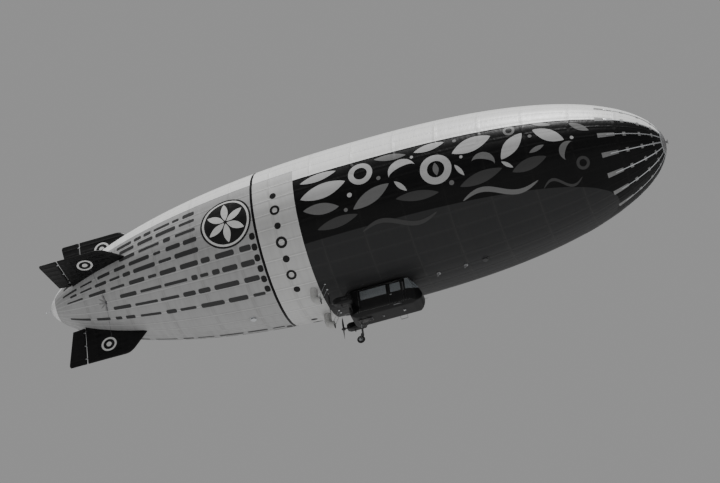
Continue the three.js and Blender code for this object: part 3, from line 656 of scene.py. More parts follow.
for tone, value in TONES.items():
    cloth = fabric_material(f"motif_{tone}", (value, value, value), soil=0.15, rough=0.4, gloss=0.2)
    for side, sign in SIDES:
        patches = [lay_on_skin(MOTIF_KINDS[kind](length, breadth), station, height, sign, tilt)
                   for kind, station, height, length, breadth, tilt, wanted in MOTIFS if wanted == tone]
        finish_patches(f"motifs_{tone}_{side}", patches, cloth)


# Rear panel: rows of plain dark bars of many lengths round the rear half, a rosette of six petals in a dark
# disc high on each side, and plain shapes down the pale band. All are thin patches of fabric as well.
# height in degrees, rear end of the row, clear of the fins and of the stay patches
ROWS = ((14, -18.6), (6, -18.6), (-3, -14.6), (-12, -18.6), (-21, -19.2), (-31, -19.2), (-42, -15.9),
        (-54, -15.9), (-67, -19.2))
ROW_FRONT = -6.9
ROW_SEED = 7
BAR_HEIGHT = 0.36
BAR_HEIGHT_SHARES = (1.0, 1.0, 0.65)
BAR_LENGTHS = (0.4, 1.6)
BAR_GAPS = (0.16, 0.36)
ROSETTE = {"x": -8.15, "height": -7, "size": 3.3, "clear": 23, "rim": (0.93, 0.85), "lift": 0.012,
           "petals": 6, "petal": (1.2, 0.456), "petal_out": 0.696}
# station, height in degrees, kind, size
BAND_SHAPES = (
    (-5.0, 2, "disc", 0.4), (-5.0, -10, "ring", 0.62), (-5.0, -22, "disc", 0.4), (-5.0, -34, "ring", 0.7),
    (-5.0, -46, "disc", 0.42), (-5.0, -58, "ring", 0.62), (-5.0, -70, "disc", 0.4),
)
# Short dark pieces that thicken the dark line towards the keel: height in degrees
LINE_STEPS = (-24, -32, -40, -48, -56, -64)
LINE_STEP_X = BAND_REAR - LINE_WIDTH - 0.22
LINE_STEP_SIZE = (0.34, 0.42)
dark_mark = fabric_material("mark_dark", (0.008, 0.008, 0.0082), soil=0.1, rough=0.4, gloss=0.2)
row_mark = fabric_material("row_dark", (0.035, 0.035, 0.036), soil=0.2, rough=0.42, gloss=0.2)
light_mark = fabric_material("mark_light", (0.6, 0.6, 0.59), soil=0.2, rough=0.4, gloss=0.3)


def bar(length, breadth):
    """A plain bar with rounded ends."""
    def edge(side):
        def point(t):
            x = -length / 2 * math.cos(math.pi * t)
            from_end = min(x + length / 2, length / 2 - x)
            full = min(1, from_end / (breadth * 0.35))
            return (x, side * breadth / 2 * (0.3 + 0.7 * math.sqrt(1 - (1 - full) ** 2)))
        return point
    return sheet_between("bar", edge(-1), edge(1), 20, 2)


def row_bars(sign, draw):
    """The bars of every row on one side, with lengths and gaps drawn in order."""
    bars = []
    for row, rear in ROWS:
        front = ROW_FRONT
        if abs(row - ROSETTE["height"]) < ROSETTE["clear"]:
            front = ROSETTE["x"] - ROSETTE["size"] * 0.6
        while front > rear:
            length = draw.uniform(*BAR_LENGTHS)
            middle = front - length / 2
            breadth = BAR_HEIGHT * skin_radius(middle) / RADIUS * draw.choice(BAR_HEIGHT_SHARES)
            bars.append(lay_on_skin(bar(length, breadth), middle, row, sign))
            front -= length + draw.uniform(*BAR_GAPS)
    return bars


def on_rosette(patch, sign, tilt=0.0, lift=PATCH_LIFT):
    return lay_on_skin(patch, ROSETTE["x"], ROSETTE["height"], sign, tilt, lift)


for side, sign in SIDES:
    finish_patches(f"rear_rows_{side}", row_bars(sign, random.Random(ROW_SEED)), row_mark)
    finish_patches(f"rosette_disc_{side}", [on_rosette(disc(ROSETTE["size"]), sign)], dark_mark)
    rim_ring = ring(*(ROSETTE["size"] * share for share in ROSETTE["rim"]))
    petals = [on_rosette(rim_ring, sign, lift=ROSETTE["lift"])]
    for i in range(ROSETTE["petals"]):
        petal = leaf(*ROSETTE["petal"])
        for vertex in petal.data.vertices:
            vertex.co.x += ROSETTE["petal_out"]
        petals.append(on_rosette(petal, sign, (i + 0.5) * 360 / ROSETTE["petals"], ROSETTE["lift"]))
    finish_patches(f"rosette_petals_{side}", petals, light_mark)
    shapes = [lay_on_skin(MOTIF_KINDS[kind](size, size), station, height, sign)
              for station, height, kind, size in BAND_SHAPES]
    shapes += [lay_on_skin(bar(*LINE_STEP_SIZE), LINE_STEP_X, height, sign) for height in LINE_STEPS]
    finish_patches(f"band_shapes_{side}", shapes, dark_mark)


# Nose: a spun alloy cone with the mooring spindle, a collar ring, and a spider of sixteen battens laced into
# fabric pockets. Together they keep the bow from dishing in.
BATTEN = {"count": 16, "inner": 0.72, "outer": 3.0, "half": 0.04, "tip_half": 0.028, "thick": 0.026}
KEEPER_RADII = (1.35, 1.95, 2.5)
POCKET_LIFT = 0.0055
CLOTH_THICK = 0.003
COLLAR = (0.645, 0.755)
CONE_RADIUS = 0.62
RIB_COUNT = 8
BOLT_COUNT = 24
DUST_COLOR = (0.16, 0.15, 0.14, 1)


def worn_finish_group():
    """Mottled dust, fine grain, and wear along edges for any hard surface."""
    group, work, asked = open_group("worn_finish", Color="Color", Bare="Color", Dust="Float", Wear="Float",
                                    Roughness="Float", Grain="Float")
    place = add(group, "ShaderNodeTexCoord").outputs["Object"]
    mottle = noise(group, place, 2.2, 8.0, 0.62)
    fine = noise(group, place, 90.0, 3.0)
    chips = noise(group, place, 14.0, 6.0, 0.7)
    sharp_normal = add(group, "ShaderNodeNewGeometry").outputs["Normal"]
    round_normal = add(group, "ShaderNodeBevel", {"Radius": 0.012}, samples=4).outputs[0]
    same = add(group, "ShaderNodeVectorMath", {0: sharp_normal, 1: round_normal}, operation="DOT_PRODUCT")
    edge = ramp(group, same.outputs["Value"], 0.98, 0.86)
    worn = work("MULTIPLY", work("MULTIPLY", edge, ramp(group, chips, 0.5, 0.62)), asked["Wear"])
    dust = work("MULTIPLY", ramp(group, mottle, 0.45, 0.8), asked["Dust"])
    shown = mixed(group, worn, mixed(group, dust, asked["Color"], DUST_COLOR), asked["Bare"])
    rough = work("MULTIPLY_ADD", dust, 0.5, work("MULTIPLY_ADD", fine, 0.1, asked["Roughness"]))
    return close_group(group, shown, work("MULTIPLY_ADD", worn, 0.12, rough), fine, asked["Grain"], 0.002)


worn_finish = worn_finish_group()


def hard_material(name, color, rough, metal=0.0, dust=0.12, wear=0.5, grain=0.15, coat=0.0, gloss=0.5,
                  bare=0.4):
    """A hard surface of one colour, finished by the worn finish group."""
    return grouped_material(name, worn_finish, {
        "Color": (*color, 1), "Bare": grey(bare), "Dust": dust, "Wear": wear, "Roughness": rough,
        "Grain": grain,
    }, {"Metallic": metal, "Coat Weight": coat, "Coat Roughness": 0.08, "Specular IOR Level": gloss})


def complete(piece, material, body, slot, *nodes, angle=35):
    """Smooths a finished mesh up to an angle between its faces, paints it and settles it."""
    smooth(piece, angle)
    paint(piece, material)
    settle(piece, body, slot, *nodes)


satin_alloy = hard_material("satin_alloy", (0.5, 0.51, 0.52), 0.3, metal=1.0, dust=0.2, wear=0.2, bare=0.7)
grey_paint = hard_material("grey_painted_alloy", (0.16, 0.16, 0.165), 0.38, dust=0.15, wear=0.6)
pocket_cloth = fabric_material("pocket_grey", (0.2, 0.2, 0.2), soil=0.3, rough=0.5, gloss=0.3, pucker=0.8)


def turned(name, outline, steps=48, axis=(1, 0, 0)):
    """A closed outline of (along, out) points spun round an axis through the origin."""
    piece = start(name, bpy.ops.mesh.primitive_circle_add, vertices=len(outline), radius=1)
    along = Vector(axis)
    across = Vector((0, 0, 1)) if abs(along.z) < 0.5 else Vector((1, 0, 0))
    for vertex, (run, out) in zip(piece.data.vertices, outline):
        vertex.co = along * run + across * out
    enter_edit(piece)
    bpy.ops.mesh.spin(steps=steps, angle=2 * math.pi, center=(0, 0, 0), axis=axis)
    leave_edit()
    close_up(piece)
    return piece


def copy_of(piece, name):
    twin = piece.copy()
    twin.data = piece.data.copy()
    twin.name = name
    bpy.context.scene.collection.objects.link(twin)
    return twin


def moved(piece, offset=(0, 0, 0), turn=None):
    """Turns a piece's mesh about the origin, then moves it."""
    matrix = Matrix.Translation(Vector(offset))
    if turn is not None:
        matrix = matrix @ turn.to_4x4()
    piece.data.transform(matrix)
    return piece


def about_x(degrees):
    return Matrix.Rotation(math.radians(degrees), 3, "X")


def skin_strip(name, first, last, along, across, lift):
    """A strip on the skin between two edges, each given as (station, turn) at a share of its length."""
    strip = flat_grid(name, along, across)
    for vertex in strip.data.vertices:
        t, side = vertex.co.x + 0.5, vertex.co.y + 0.5
        (x0, turn0), (x1, turn1) = first(t), last(t)
        vertex.co = skin_point(x0 + (x1 - x0) * side, turn0 + (turn1 - turn0) * side, lift)
    face_outwards(strip)
    return strip


def radial_strip(name, turn, inner, outer, half_inner, half_outer, lift, along=20):
    """A strip that runs out over the nose from one radius to another, at an angle from the crown."""
    def edge(side):
        def point(t):
            radius = inner + (outer - inner) * t
            half = half_inner + (half_outer - half_inner) * t
            return nose_station(radius), turn + side * half / radius
        return point
    return skin_strip(name, edge(-1), edge(1), along, 2, lift)


def collar_edge(radius):
    """One edge of the collar, all the way round the nose."""
    return lambda t: (nose_station(radius), 2 * math.pi * t)


battens, pockets = [], []
for i in range(BATTEN["count"]):
    turn = (i + 0.5) / BATTEN["count"] * 2 * math.pi
    battens.append(radial_strip("batten", turn, BATTEN["inner"], BATTEN["outer"], BATTEN["half"],
                                BATTEN["tip_half"], 0.0095))
    pockets.append(radial_strip("pocket", turn, BATTEN["outer"] - 0.22, BATTEN["outer"] + 0.2, 0.11, 0.15,
                                POCKET_LIFT, 6))
    for place in KEEPER_RADII:
        pockets.append(radial_strip("keeper", turn, place - 0.05, place + 0.05, 0.13, 0.13, POCKET_LIFT, 2))
battens = join("battens", battens)
modify(battens, "SOLIDIFY", thickness=BATTEN["thick"], offset=1)
round_edges(battens, 0.009)
collar = skin_strip("collar", collar_edge(COLLAR[0]), collar_edge(COLLAR[1]), 96, 2, 0.004)
close_up(collar)
face_outwards(collar)
modify(collar, "SOLIDIFY", thickness=0.034, offset=1)
round_edges(collar, 0.01)
complete(join("nose_spider", [battens, collar]), satin_alloy, "hull", "metal", "nose_battens")

pockets = join("batten_pockets", pockets)
modify(pockets, "SOLIDIFY", thickness=CLOTH_THICK, offset=1)
paint(pockets, pocket_cloth)
settle(pockets, "hull", "envelope")

cone_outer = [(nose_station(r) + 0.031, r) for r in (0.12, 0.2, 0.3, 0.4, 0.48, 0.55, 0.595)]
cone_inner = [(nose_station(r) + 0.003, r) for r in (0.6, 0.5, 0.4, 0.3, 0.2, 0.1)]
cone_edge = [(nose_station(CONE_RADIUS) + lift, CONE_RADIUS) for lift in (0.024, 0.003)]
parts = [turned("cone", [
    (18.18, 0), (18.18, 0.152), (18.172, 0.16), (18.158, 0.16), (18.15, 0.152), (18.15, 0.085),
    (18.135, 0.07), (18.072, 0.07), (18.055, 0.095), (18.044, 0.115), *cone_outer, *cone_edge, *cone_inner,
    (18.003, 0),
], 64)]
for i in range(RIB_COUNT):
    rib = start("rib", bpy.ops.mesh.primitive_cube_add, size=1)
    modify(rib, "BEVEL", width=0.12, segments=3)
    for vertex in rib.data.vertices:
        radius = 0.31 + vertex.co.z * 0.36
        vertex.co = Vector((nose_station(radius) + 0.034 + vertex.co.x * 0.03, vertex.co.y * 0.02, radius))
    parts.append(moved(rib, turn=about_x(i * 360 / RIB_COUNT)))
for i in range(BOLT_COUNT):
    bolt = start("bolt", bpy.ops.mesh.primitive_ico_sphere_add, subdivisions=1, radius=0.014)
    moved(bolt, (nose_station(0.58) + 0.034, 0, 0.578))
    parts.append(moved(bolt, turn=about_x(i * 360 / BOLT_COUNT)))
complete(join("mooring_cone", parts), grey_paint, "hull", "metal", "nose_cone")


# Stern light: a white lamp in a glass with wire guards, on a short alloy pole whose round foot is fixed to
# the envelope's tip.
LAMP_X = -21.31
GUARDS = 3


def wire_ring(name, radius, thick, steps, sides, **place):
    """A ring of round wire."""
    return start(name, bpy.ops.mesh.primitive_torus_add, major_radius=radius, minor_radius=thick,
                 major_segments=steps, minor_segments=sides, **place)


def glass_material(name, tint):
    """Acrylic panes, a little dusty and very finely scratched."""
    material, output = new_material(name)
    tree = material.node_tree
    film = noise(tree, add(tree, "ShaderNodeTexCoord").outputs["Object"], 3.0, 6.0)
    body = add(tree, "ShaderNodeBsdfPrincipled", {
        "Base Color": tint, "Roughness": ramp(tree, film, 0.4, 0.7, 0.02, 0.09), "Transmission Weight": 0.9,
        "IOR": 1.45,
    })
    rays = add(tree, "ShaderNodeLightPath").outputs
    either = {0: rays["Is Shadow Ray"], 1: rays["Is Diffuse Ray"]}
    lit = add(tree, "ShaderNodeMath", either, operation="MAXIMUM")
    clear = add(tree, "ShaderNodeBsdfTransparent", {"Color": tint})
    pane = add(tree, "ShaderNodeMixShader", {0: lit.outputs[0], 1: body.outputs[0], 2: clear.outputs[0]})
    tree.links.new(pane.outputs[0], output.inputs["Surface"])
    return material


clear_glass = glass_material("lamp_glass", grey(0.9))
base_under = [(stern_station(r) - 0.002, r) for r in (0.17, 0.08)]
base_over = [(stern_station(r) - lift, r) for r, lift in ((0.1, 0.022), (0.14, 0.024))]
parts = [
    turned("stern_base", [(stern_station(0.17) - 0.022, 0.17), *base_under, (-20.998, 0), (-21.05, 0),
                          (-21.05, 0.05), (-21.04, 0.058), *base_over], 40),
    turned("pole", [(-21.03, 0), (-21.03, 0.016), (LAMP_X, 0.016), (LAMP_X - 0.002, 0.046),
                    (LAMP_X - 0.02, 0.048), (LAMP_X - 0.024, 0.04), (LAMP_X - 0.026, 0)], 32),
]
for i in range(GUARDS):
    guard = wire_ring("guard", 0.047, 0.003, 32, 8)
    for vertex in guard.data.vertices:
        vertex.co.x *= 1.4
    parts.append(moved(guard, (LAMP_X - 0.035, 0, 0), about_x(i * 180 / GUARDS)))
complete(join("stern_lamp_stand", parts), satin_alloy, "hull", "metal", "stern_light")
lens = turned("stern_lamp_glass", [(LAMP_X - 0.026, 0), (LAMP_X - 0.026, 0.034), (LAMP_X - 0.05, 0.036),
                                   (LAMP_X - 0.075, 0.03), (LAMP_X - 0.09, 0.016), (LAMP_X - 0.095, 0)], 32)
complete(lens, clear_glass, "hull", "glass", angle=60)


# Valves: a sprung gas valve on the port side, and an air valve fore and aft under the keel. Each is a turned
# ring clamped to the fabric by bolts, with a dished lid held up on four short posts.
black_plastic = hard_material("black_plastic", (0.02, 0.02, 0.021), 0.5, dust=0.1, wear=0.1, grain=0.5)
VALVE_BOLTS = 16
# name, station, angle down from port in degrees, radius, height, finish
VALVES = (
    ("helium_valve", -3.0, 62, 0.26, 0.11, grey_paint),
    ("air_valve_fore", 6.2, 90, 0.24, 0.12, black_plastic),
    ("air_valve_aft", -8.3, 90, 0.24, 0.12, satin_alloy),
)
for name, station, down, radius, height, finish in VALVES:
    parts = [turned(part, outline, 48, (0, 0, 1)) for part, outline in (
        ("clamp", [(-0.06, radius), (0.012, radius), (0.02, radius - 0.008), (0.02, radius - 0.045),
                   (0.035, radius - 0.06), (0.035, radius - 0.075), (-0.06, radius - 0.075)]),
        ("lid", [(height - 0.035, 0), (height - 0.035, radius * 0.66), (height - 0.028, radius * 0.7),
                 (height - 0.018, radius * 0.7), (height - 0.008, radius * 0.6), (height - 0.012, 0.1),
                 (height, 0.05), (height, 0)]),
        ("throat", [(-0.06, 0), (-0.06, radius * 0.6), (height - 0.05, radius * 0.56), (height - 0.05, 0)]),
    )]
    post_height = height - 0.03
    for i in range(VALVE_BOLTS):
        around = Matrix.Rotation(i * 2 * math.pi / VALVE_BOLTS, 3, "Z")
        bolt = start("bolt", bpy.ops.mesh.primitive_cylinder_add, vertices=6, radius=0.011, depth=0.02)
        parts.append(moved(bolt, around @ Vector((radius - 0.026, 0, 0.026)), around))
        if i % 4 == 0:
            post = start("post", bpy.ops.mesh.primitive_cylinder_add, vertices=12, radius=0.012,
                         depth=post_height)
            parts.append(moved(post, around @ Vector((radius * 0.64, 0, post_height / 2))))
    valve = join(f"{name}_set", parts)
    angle = math.radians(down)
    direction = Vector((0, math.cos(angle), -math.sin(angle)))
    upright = direction.to_track_quat("Z", "X").to_matrix()
    moved(valve, Vector((station, 0, 0)) + direction * skin_radius(station), upright)
    complete(valve, finish, "hull", "metal", name)


# Tail fins: four alloy frames covered in doped black fabric, with the rib tapes just proud and the cloth sunk
# a little between the ribs. Each stands on the hull and carries three hinge arms for its rudder or elevator.
FIN_TIP = 4.6
FIN_END_X = -18.865
HINGE_X = -19.0
HINGE_SPANS = (2.3, 3.27, 4.23)
FIN_ROOT = 1.75
SURFACE_ROOT = 2.0
RIB_EVERY = 0.42
RIB_HALF = 0.02
FIN_RIBS_FROM = 2.14
SURFACE_RIBS_FROM = 2.12
ROOT_DEPTH = 0.012
FIN_SAG = 0.009
FIN_CHORD_STEPS = 26
FIN_HALF = {"nose": (0.13, 0.055), "end": (0.1, 0.04), "from": 1.5}
FIN_ROUND = {"from": 4.3, "sweep": 0.28}
FIN_LEAD = {"x": -15.0, "span": 3.38, "sweep": 0.9016}
TIP_ROUND = 0.09
CLOTH_SHARES = (0.12, 0.985)
CLOTH_SINK = 0.0015
SURFACE_TRAIL = {"x": -19.7, "sweep": 0.4, "round": 0.16, "corner": 0.25, "half": 0.012}
# name, control surface and its body, turn about X from upright in degrees
TAIL = (
    ("top", "rudder_top", 0), ("starboard", "elevator_starboard", 90),
    ("bottom", "rudder_bottom", 180), ("port", "elevator_port", 270),
)


def share_of_span(span, root):
    return (span - root) / (FIN_TIP - root)


def quarter_round(share):
    """How high a quarter circle stands at a share of the way out, with nothing taken off before its start."""
    return math.sqrt(max(0.0, 1 - max(0.0, share) ** 2))


def fin_lead(span):
    """The station of the fin's leading edge, which sweeps aft and is rounded at the tip."""
    off = 1 - quarter_round((span - FIN_ROUND["from"]) / (FIN_TIP - FIN_ROUND["from"]))
    return FIN_LEAD["x"] - FIN_LEAD["sweep"] * (span - FIN_LEAD["span"]) - FIN_ROUND["sweep"] * off


def tip_thinning(span):
    return quarter_round((span - (FIN_TIP - TIP_ROUND)) / TIP_ROUND) * 0.85 + 0.15


def frame_half(span, part):
    """Half the thickness of the fin's frame at its nose or its rear end."""
    root_half, taper = FIN_HALF[part]
    return root_half - taper * share_of_span(span, FIN_HALF["from"])


def fin_half(x, span):
    """Half the fin's thickness at a place, without the sag of its cloth."""
    thick, end = frame_half(span, "nose"), frame_half(span, "end")
    lead = fin_lead(span)
    nose = thick * 4
    back = max(0.0, lead - x)
    if back < nose:
        half = thick * math.sqrt(max(0.0, 1 - (1 - back / nose) ** 2))
    else:
        half = thick + (end - thick) * (back - nose) / (lead - nose - FIN_END_X)
    return half * tip_thinning(span)


def cloth_sag(span, chord_share, ribs_from):
    """How far the cloth lies below the rib tapes at a place."""
    to_rib = abs((span - ribs_from + RIB_EVERY / 2) % RIB_EVERY - RIB_EVERY / 2)
    front, rear = CLOTH_SHARES
    if to_rib <= RIB_HALF or not front < chord_share < rear:
        return 0.0
    bay = (to_rib - RIB_HALF) / (RIB_EVERY / 2 - RIB_HALF)
    along = (chord_share - front) / (rear - front)
    return CLOTH_SINK + FIN_SAG * math.sin(bay * math.pi / 2) * math.sin(along * math.pi)


def ring_spans(root, ribs_from):
    """Spans for the sections: two at each side of every rib tape, and a few between."""
    spans = [root]
    rib = ribs_from
    while rib < FIN_TIP - 0.1:
        for offset in (-RIB_HALF - 0.004, -RIB_HALF, RIB_HALF, RIB_HALF + 0.004, 0.12, 0.21, 0.3):
            if root < rib + offset < FIN_TIP - 0.1:
                spans.append(rib + offset)
        rib += RIB_EVERY
    return spans + [FIN_TIP - less for less in (0.09, 0.07, 0.045, 0.025, 0.01, 0.0)]


def lofted(name, rings):
    """A skin over rings of equal point counts: a grid's points are moved, merged and closed at the ends."""
    count, last = len(rings[0]), len(rings) - 1
    piece = flat_grid(name, last, count)
    for vertex in piece.data.vertices:
        row = rings[round((vertex.co.x + 0.5) * last)]
        vertex.co = Vector(row[round((vertex.co.y + 0.5) * count) % count])
    close_up(piece, fill=True)
    return piece


def fin_station(span, share):
    return fin_lead(span) + (FIN_END_X - fin_lead(span)) * share


def rooted_span(span, share):
    """The span, or inside the hull, the span at which this share of the chord meets the skin."""
    if span >= skin_radius(fin_station(span, share)) - ROOT_DEPTH:
        return span
    low, high = span, FIN_TIP
    for _ in range(30):
        middle = (low + high) / 2
        if middle < skin_radius(fin_station(middle, share)) - ROOT_DEPTH:
            low = middle
        else:
            high = middle
    return high


def fin_ring(span):
    """A section of the fin, from its square rear end round the nose and back, standing on the hull."""
    shares = [math.cos(math.pi / 2 * i / FIN_CHORD_STEPS) ** 2 for i in range(FIN_CHORD_STEPS + 1)]
    points = []
    for sign, order in ((-1, shares), (1, shares[-2::-1])):
        for share in order:
            here = rooted_span(span, share)
            x = fin_station(here, share)
            sunk = fin_half(x, here) - cloth_sag(here, share, FIN_RIBS_FROM)
            points.append((x, sign * max(0.001, sunk) if share > 1e-6 else 0.0, here))
    return points


def surface_ring(span):
    """A section of a rudder or elevator: a round nose on the hinge line, tapering to a thin trailing edge."""
    half = frame_half(span, "end") * tip_thinning(span)
    off = 1 - quarter_round((span - FIN_TIP + SURFACE_TRAIL["corner"]) / SURFACE_TRAIL["corner"])
    trail = (SURFACE_TRAIL["x"] - SURFACE_TRAIL["sweep"] * share_of_span(span, SURFACE_ROOT)
             + SURFACE_TRAIL["round"] * off)
    angles = [math.pi / 16 * i for i in range(8)]
    upper = [(HINGE_X + half * math.cos(angle), half * math.sin(angle)) for angle in angles]
    for i in range(13):
        share = i / 12
        thick = half + (SURFACE_TRAIL["half"] - half) * share
        sag = cloth_sag(span, 0.12 + 0.86 * share, SURFACE_RIBS_FROM)
        upper.append((HINGE_X + (trail - HINGE_X) * share, max(0.004, thick - sag)))
    lower = [(x, -y) for x, y in upper[:0:-1]]
    return [(x, y, span) for x, y in upper + lower]


def cut(piece, cutter):
    """Cuts a solid out of a piece, and removes the cutter."""
    modify(piece, "BOOLEAN", object=cutter, operation="DIFFERENCE", solver="EXACT")
    bpy.data.objects.remove(cutter)


def block(name, low, high, bevel=0.0):
    """A block between two corners, with rounded edges."""
    piece = start(name, bpy.ops.mesh.primitive_cube_add, size=1)
    for vertex in piece.data.vertices:
        vertex.co = Vector([low[k] + (high[k] - low[k]) * (vertex.co[k] + 0.5) for k in range(3)])
    close_up(piece)
    if bevel:
        modify(piece, "BEVEL", width=bevel, segments=2)
    return piece


def rod(name, first, last, radius, sides=16, bevel=0.0):
    """A round bar from one place to another."""
    first, last = Vector(first), Vector(last)
    piece = start(name, bpy.ops.mesh.primitive_cylinder_add, vertices=sides, radius=radius,
                  depth=(last - first).length)
    if bevel:
        round_edges(piece, bevel)
    return moved(piece, (first + last) / 2, (last - first).to_track_quat("Z", "X").to_matrix())


tail_fabric = fabric_material("tail_black", (0.0045, 0.0045, 0.0048), soil=0.08, rough=0.36, gloss=0.18,
                              pucker=0.5)
dark_steel = hard_material("dark_steel", (0.09, 0.09, 0.095), 0.42, metal=0.9, dust=0.2, wear=0.5)


def hinge_rod(name, low, high, radius, sides):
    """A round bar on the hinge line between two spans."""
    return rod(name, (HINGE_X, 0, low), (HINGE_X, 0, high), radius, sides)


fin = lofted("fin", [fin_ring(span) for span in ring_spans(FIN_ROOT, FIN_RIBS_FROM)])
surface = lofted("surface", [surface_ring(span) for span in ring_spans(SURFACE_ROOT, SURFACE_RIBS_FROM)])
cut(surface, join("notches", [
    block("notch", (HINGE_X - 0.062, -0.2, span - 0.065), (HINGE_X + 0.2, 0.2, span + 0.065))
    for span in HINGE_SPANS]))
arms, pins = [], []
for span in HINGE_SPANS:
    arm = block("arm", (HINGE_X, -0.036, span - 0.05), (HINGE_X + 0.165, 0.036, span + 0.05))
    boss = hinge_rod("boss", span - 0.05, span + 0.05, 0.045, 32)
    modify(arm, "BOOLEAN", object=boss, operation="UNION", solver="EXACT")
    bpy.data.objects.remove(boss)
    cut(arm, hinge_rod("bore", span - 0.08, span + 0.08, 0.023, 32))
    round_edges(arm, 0.004)
    arms.append(arm)
    pins.append(hinge_rod("pin", span - 0.075, span + 0.075, 0.018, 24))
    for end in (-0.066, 0.06):
        pins.append(hinge_rod("nut", span + end - 0.004, span + end + 0.01, 0.03, 6))
arms, pins = join("hinge_arms", arms), join("hinge_pins", pins)
for piece, material, angle in ((fin, tail_fabric, 40), (surface, tail_fabric, 40), (arms, satin_alloy, 35),
                               (pins, dark_steel, 35)):
    smooth(piece, angle)
    paint(piece, material)

for side, surface_name, degrees in TAIL:
    for pattern, name, *place in (
            (fin, f"fin_{side}_skin", "hull", "tail", f"fin_{side}"),
            (surface, f"{surface_name}_skin", surface_name, "tail", surface_name),
            (arms, f"hinge_arms_{side}", "hull", "metal"),
            (pins, f"hinge_pins_{side}", surface_name, "metal")):
        settle(moved(copy_of(pattern, name), turn=about_x(degrees)), *place)
for pattern in (fin, surface, arms, pins):
    bpy.data.objects.remove(pattern)


# Fin marks: one plain light ring with a dot on each face of every fin. They are cut from thin fabric and
# stuck to the fin's cover, just proud of it.
MARK = {"x": -17.45, "span": 3.62, "outer": 0.98, "inner": 0.72, "dot": 0.34, "lift": 0.002}


def lay_on_fin(patch, side):
    for vertex in patch.data.vertices:
        x, span = MARK["x"] + vertex.co.x, MARK["span"] + vertex.co.y
        vertex.co = Vector((x, side * (fin_half(x, span) + MARK["lift"]), span))
    for face in patch.data.polygons:
        if face.normal.y * side < 0:
            face.flip()
    return patch


marks = join("fin_marks", [lay_on_fin(make, side) for side in (-1, 1)
                           for make in (ring(MARK["outer"], MARK["inner"]), disc(MARK["dot"]))])
modify(marks, "SOLIDIFY", thickness=CLOTH_THICK, offset=1)
paint(marks, light_mark)
for side, surface_name, degrees in TAIL:
    settle(moved(copy_of(marks, f"fin_marks_{side}"), turn=about_x(degrees)), "hull", "tail")
bpy.data.objects.remove(marks)


# Stays: taut steel wires brace every fin to its neighbours' quadrant of the hull. Each runs from a finger
# patch on the skin through a turnbuckle to a lug on the fin's side.
STAY = {"x": -17.2, "span": 3.75, "pad_x": -16.8, "pad": 0.095}
# name, its start and end as shares of the way from the pad to the fin, radius, sides
STAY_PARTS = (
    ("wire", 0.01, 0.995, 0.007, 8), ("turnbuckle", 0.1, 0.2, 0.017, 12), ("fork", 0.01, 0.035, 0.016, 10),
    ("lug", 0.97, 1.0, 0.016, 10),
)
FINGERS = 5
FINGER = {"size": (0.62, 0.11), "out": 0.27, "spread": 34, "lifts": (0.002, 0.005)}


def finger_patch():
    """A fan of fabric fingers round the pad, on the skin half way between the top and the starboard fin."""
    fingers = []
    for i in range(FINGERS):
        finger = leaf(*FINGER["size"])
        for vertex in finger.data.vertices:
            vertex.co.x += FINGER["out"]
        tilt = 180 + (i - FINGERS // 2) * FINGER["spread"]
        fingers.append(lay_on_skin(finger, STAY["pad_x"], 45, -1, tilt, FINGER["lifts"][i % 2]))
    patch = join("finger_patch", fingers)
    face_outwards(patch)
    modify(patch, "SOLIDIFY", thickness=CLOTH_THICK, offset=1)
    return patch


def stay_set():
    """The pad between the top and starboard fins, and the two wires from it, each with its fittings."""
    radial = Vector((0, -math.sqrt(0.5), math.sqrt(0.5)))
    skin = Vector((STAY["pad_x"], 0, 0)) + radial * skin_radius(STAY["pad_x"])
    foot = skin + radial * 0.035
    rim = STAY["pad"]
    pad = turned("pad", [(-0.02, rim), (0.012, rim), (0.02, rim - 0.01), (0.022, 0.05), (0.03, 0.04),
                         (0.03, 0), (-0.02, 0)], 32, (0, 0, 1))
    parts = [moved(pad, skin, radial.to_track_quat("Z", "X").to_matrix())]
    reach = fin_half(STAY["x"], STAY["span"]) + 0.012
    for end in (Vector((STAY["x"], -reach, STAY["span"])), Vector((STAY["x"], -STAY["span"], reach))):
        for name, near, far, radius, sides in STAY_PARTS:
            parts.append(rod(name, foot.lerp(end, near), foot.lerp(end, far), radius, sides, radius * 0.3))
    return join("stay_set", parts)


stays, patch = stay_set(), finger_patch()
smooth(stays)
paint(stays, dark_steel)
paint(patch, pocket_cloth)
QUADRANTS = (("top_starboard", 0), ("bottom_starboard", 90), ("bottom_port", 180), ("top_port", 270))
for side, degrees in QUADRANTS:
    turn = about_x(degrees)
    settle(moved(copy_of(stays, f"stay_wires_{side}"), turn=turn), "hull", "metal", f"stays_{side}")
    settle(moved(copy_of(patch, f"stay_patch_{side}"), turn=turn), "hull", "envelope")
bpy.data.objects.remove(stays)
bpy.data.objects.remove(patch)


# Gondola shell: riveted alloy panels in gloss black, in six main pieces and two doors, softly rolled at their
# edges, and glazed with acrylic panes. The shapes are the CAD model's own, merged and rounded.
gloss_black = hard_material("gondola_black", (0.004, 0.004, 0.0043), 0.3, dust=0.03, wear=0.4, coat=0.12,
                            gloss=0.2)
cabin_lining = hard_material("cabin_lining", (0.42, 0.42, 0.41), 0.7, dust=0.1, wear=0.0, grain=0.4)
window_glass = glass_material("window_glass", (0.62, 0.65, 0.67, 1))
CABIN_MIDDLE = Vector((-0.1, 0, -6.0))
FORM_NOISE = 0.0004
FORM_PASSES = 14
PANE_INSET = 0.014
PANE_THICK = 0.01
PANE_EDGE = 0.003


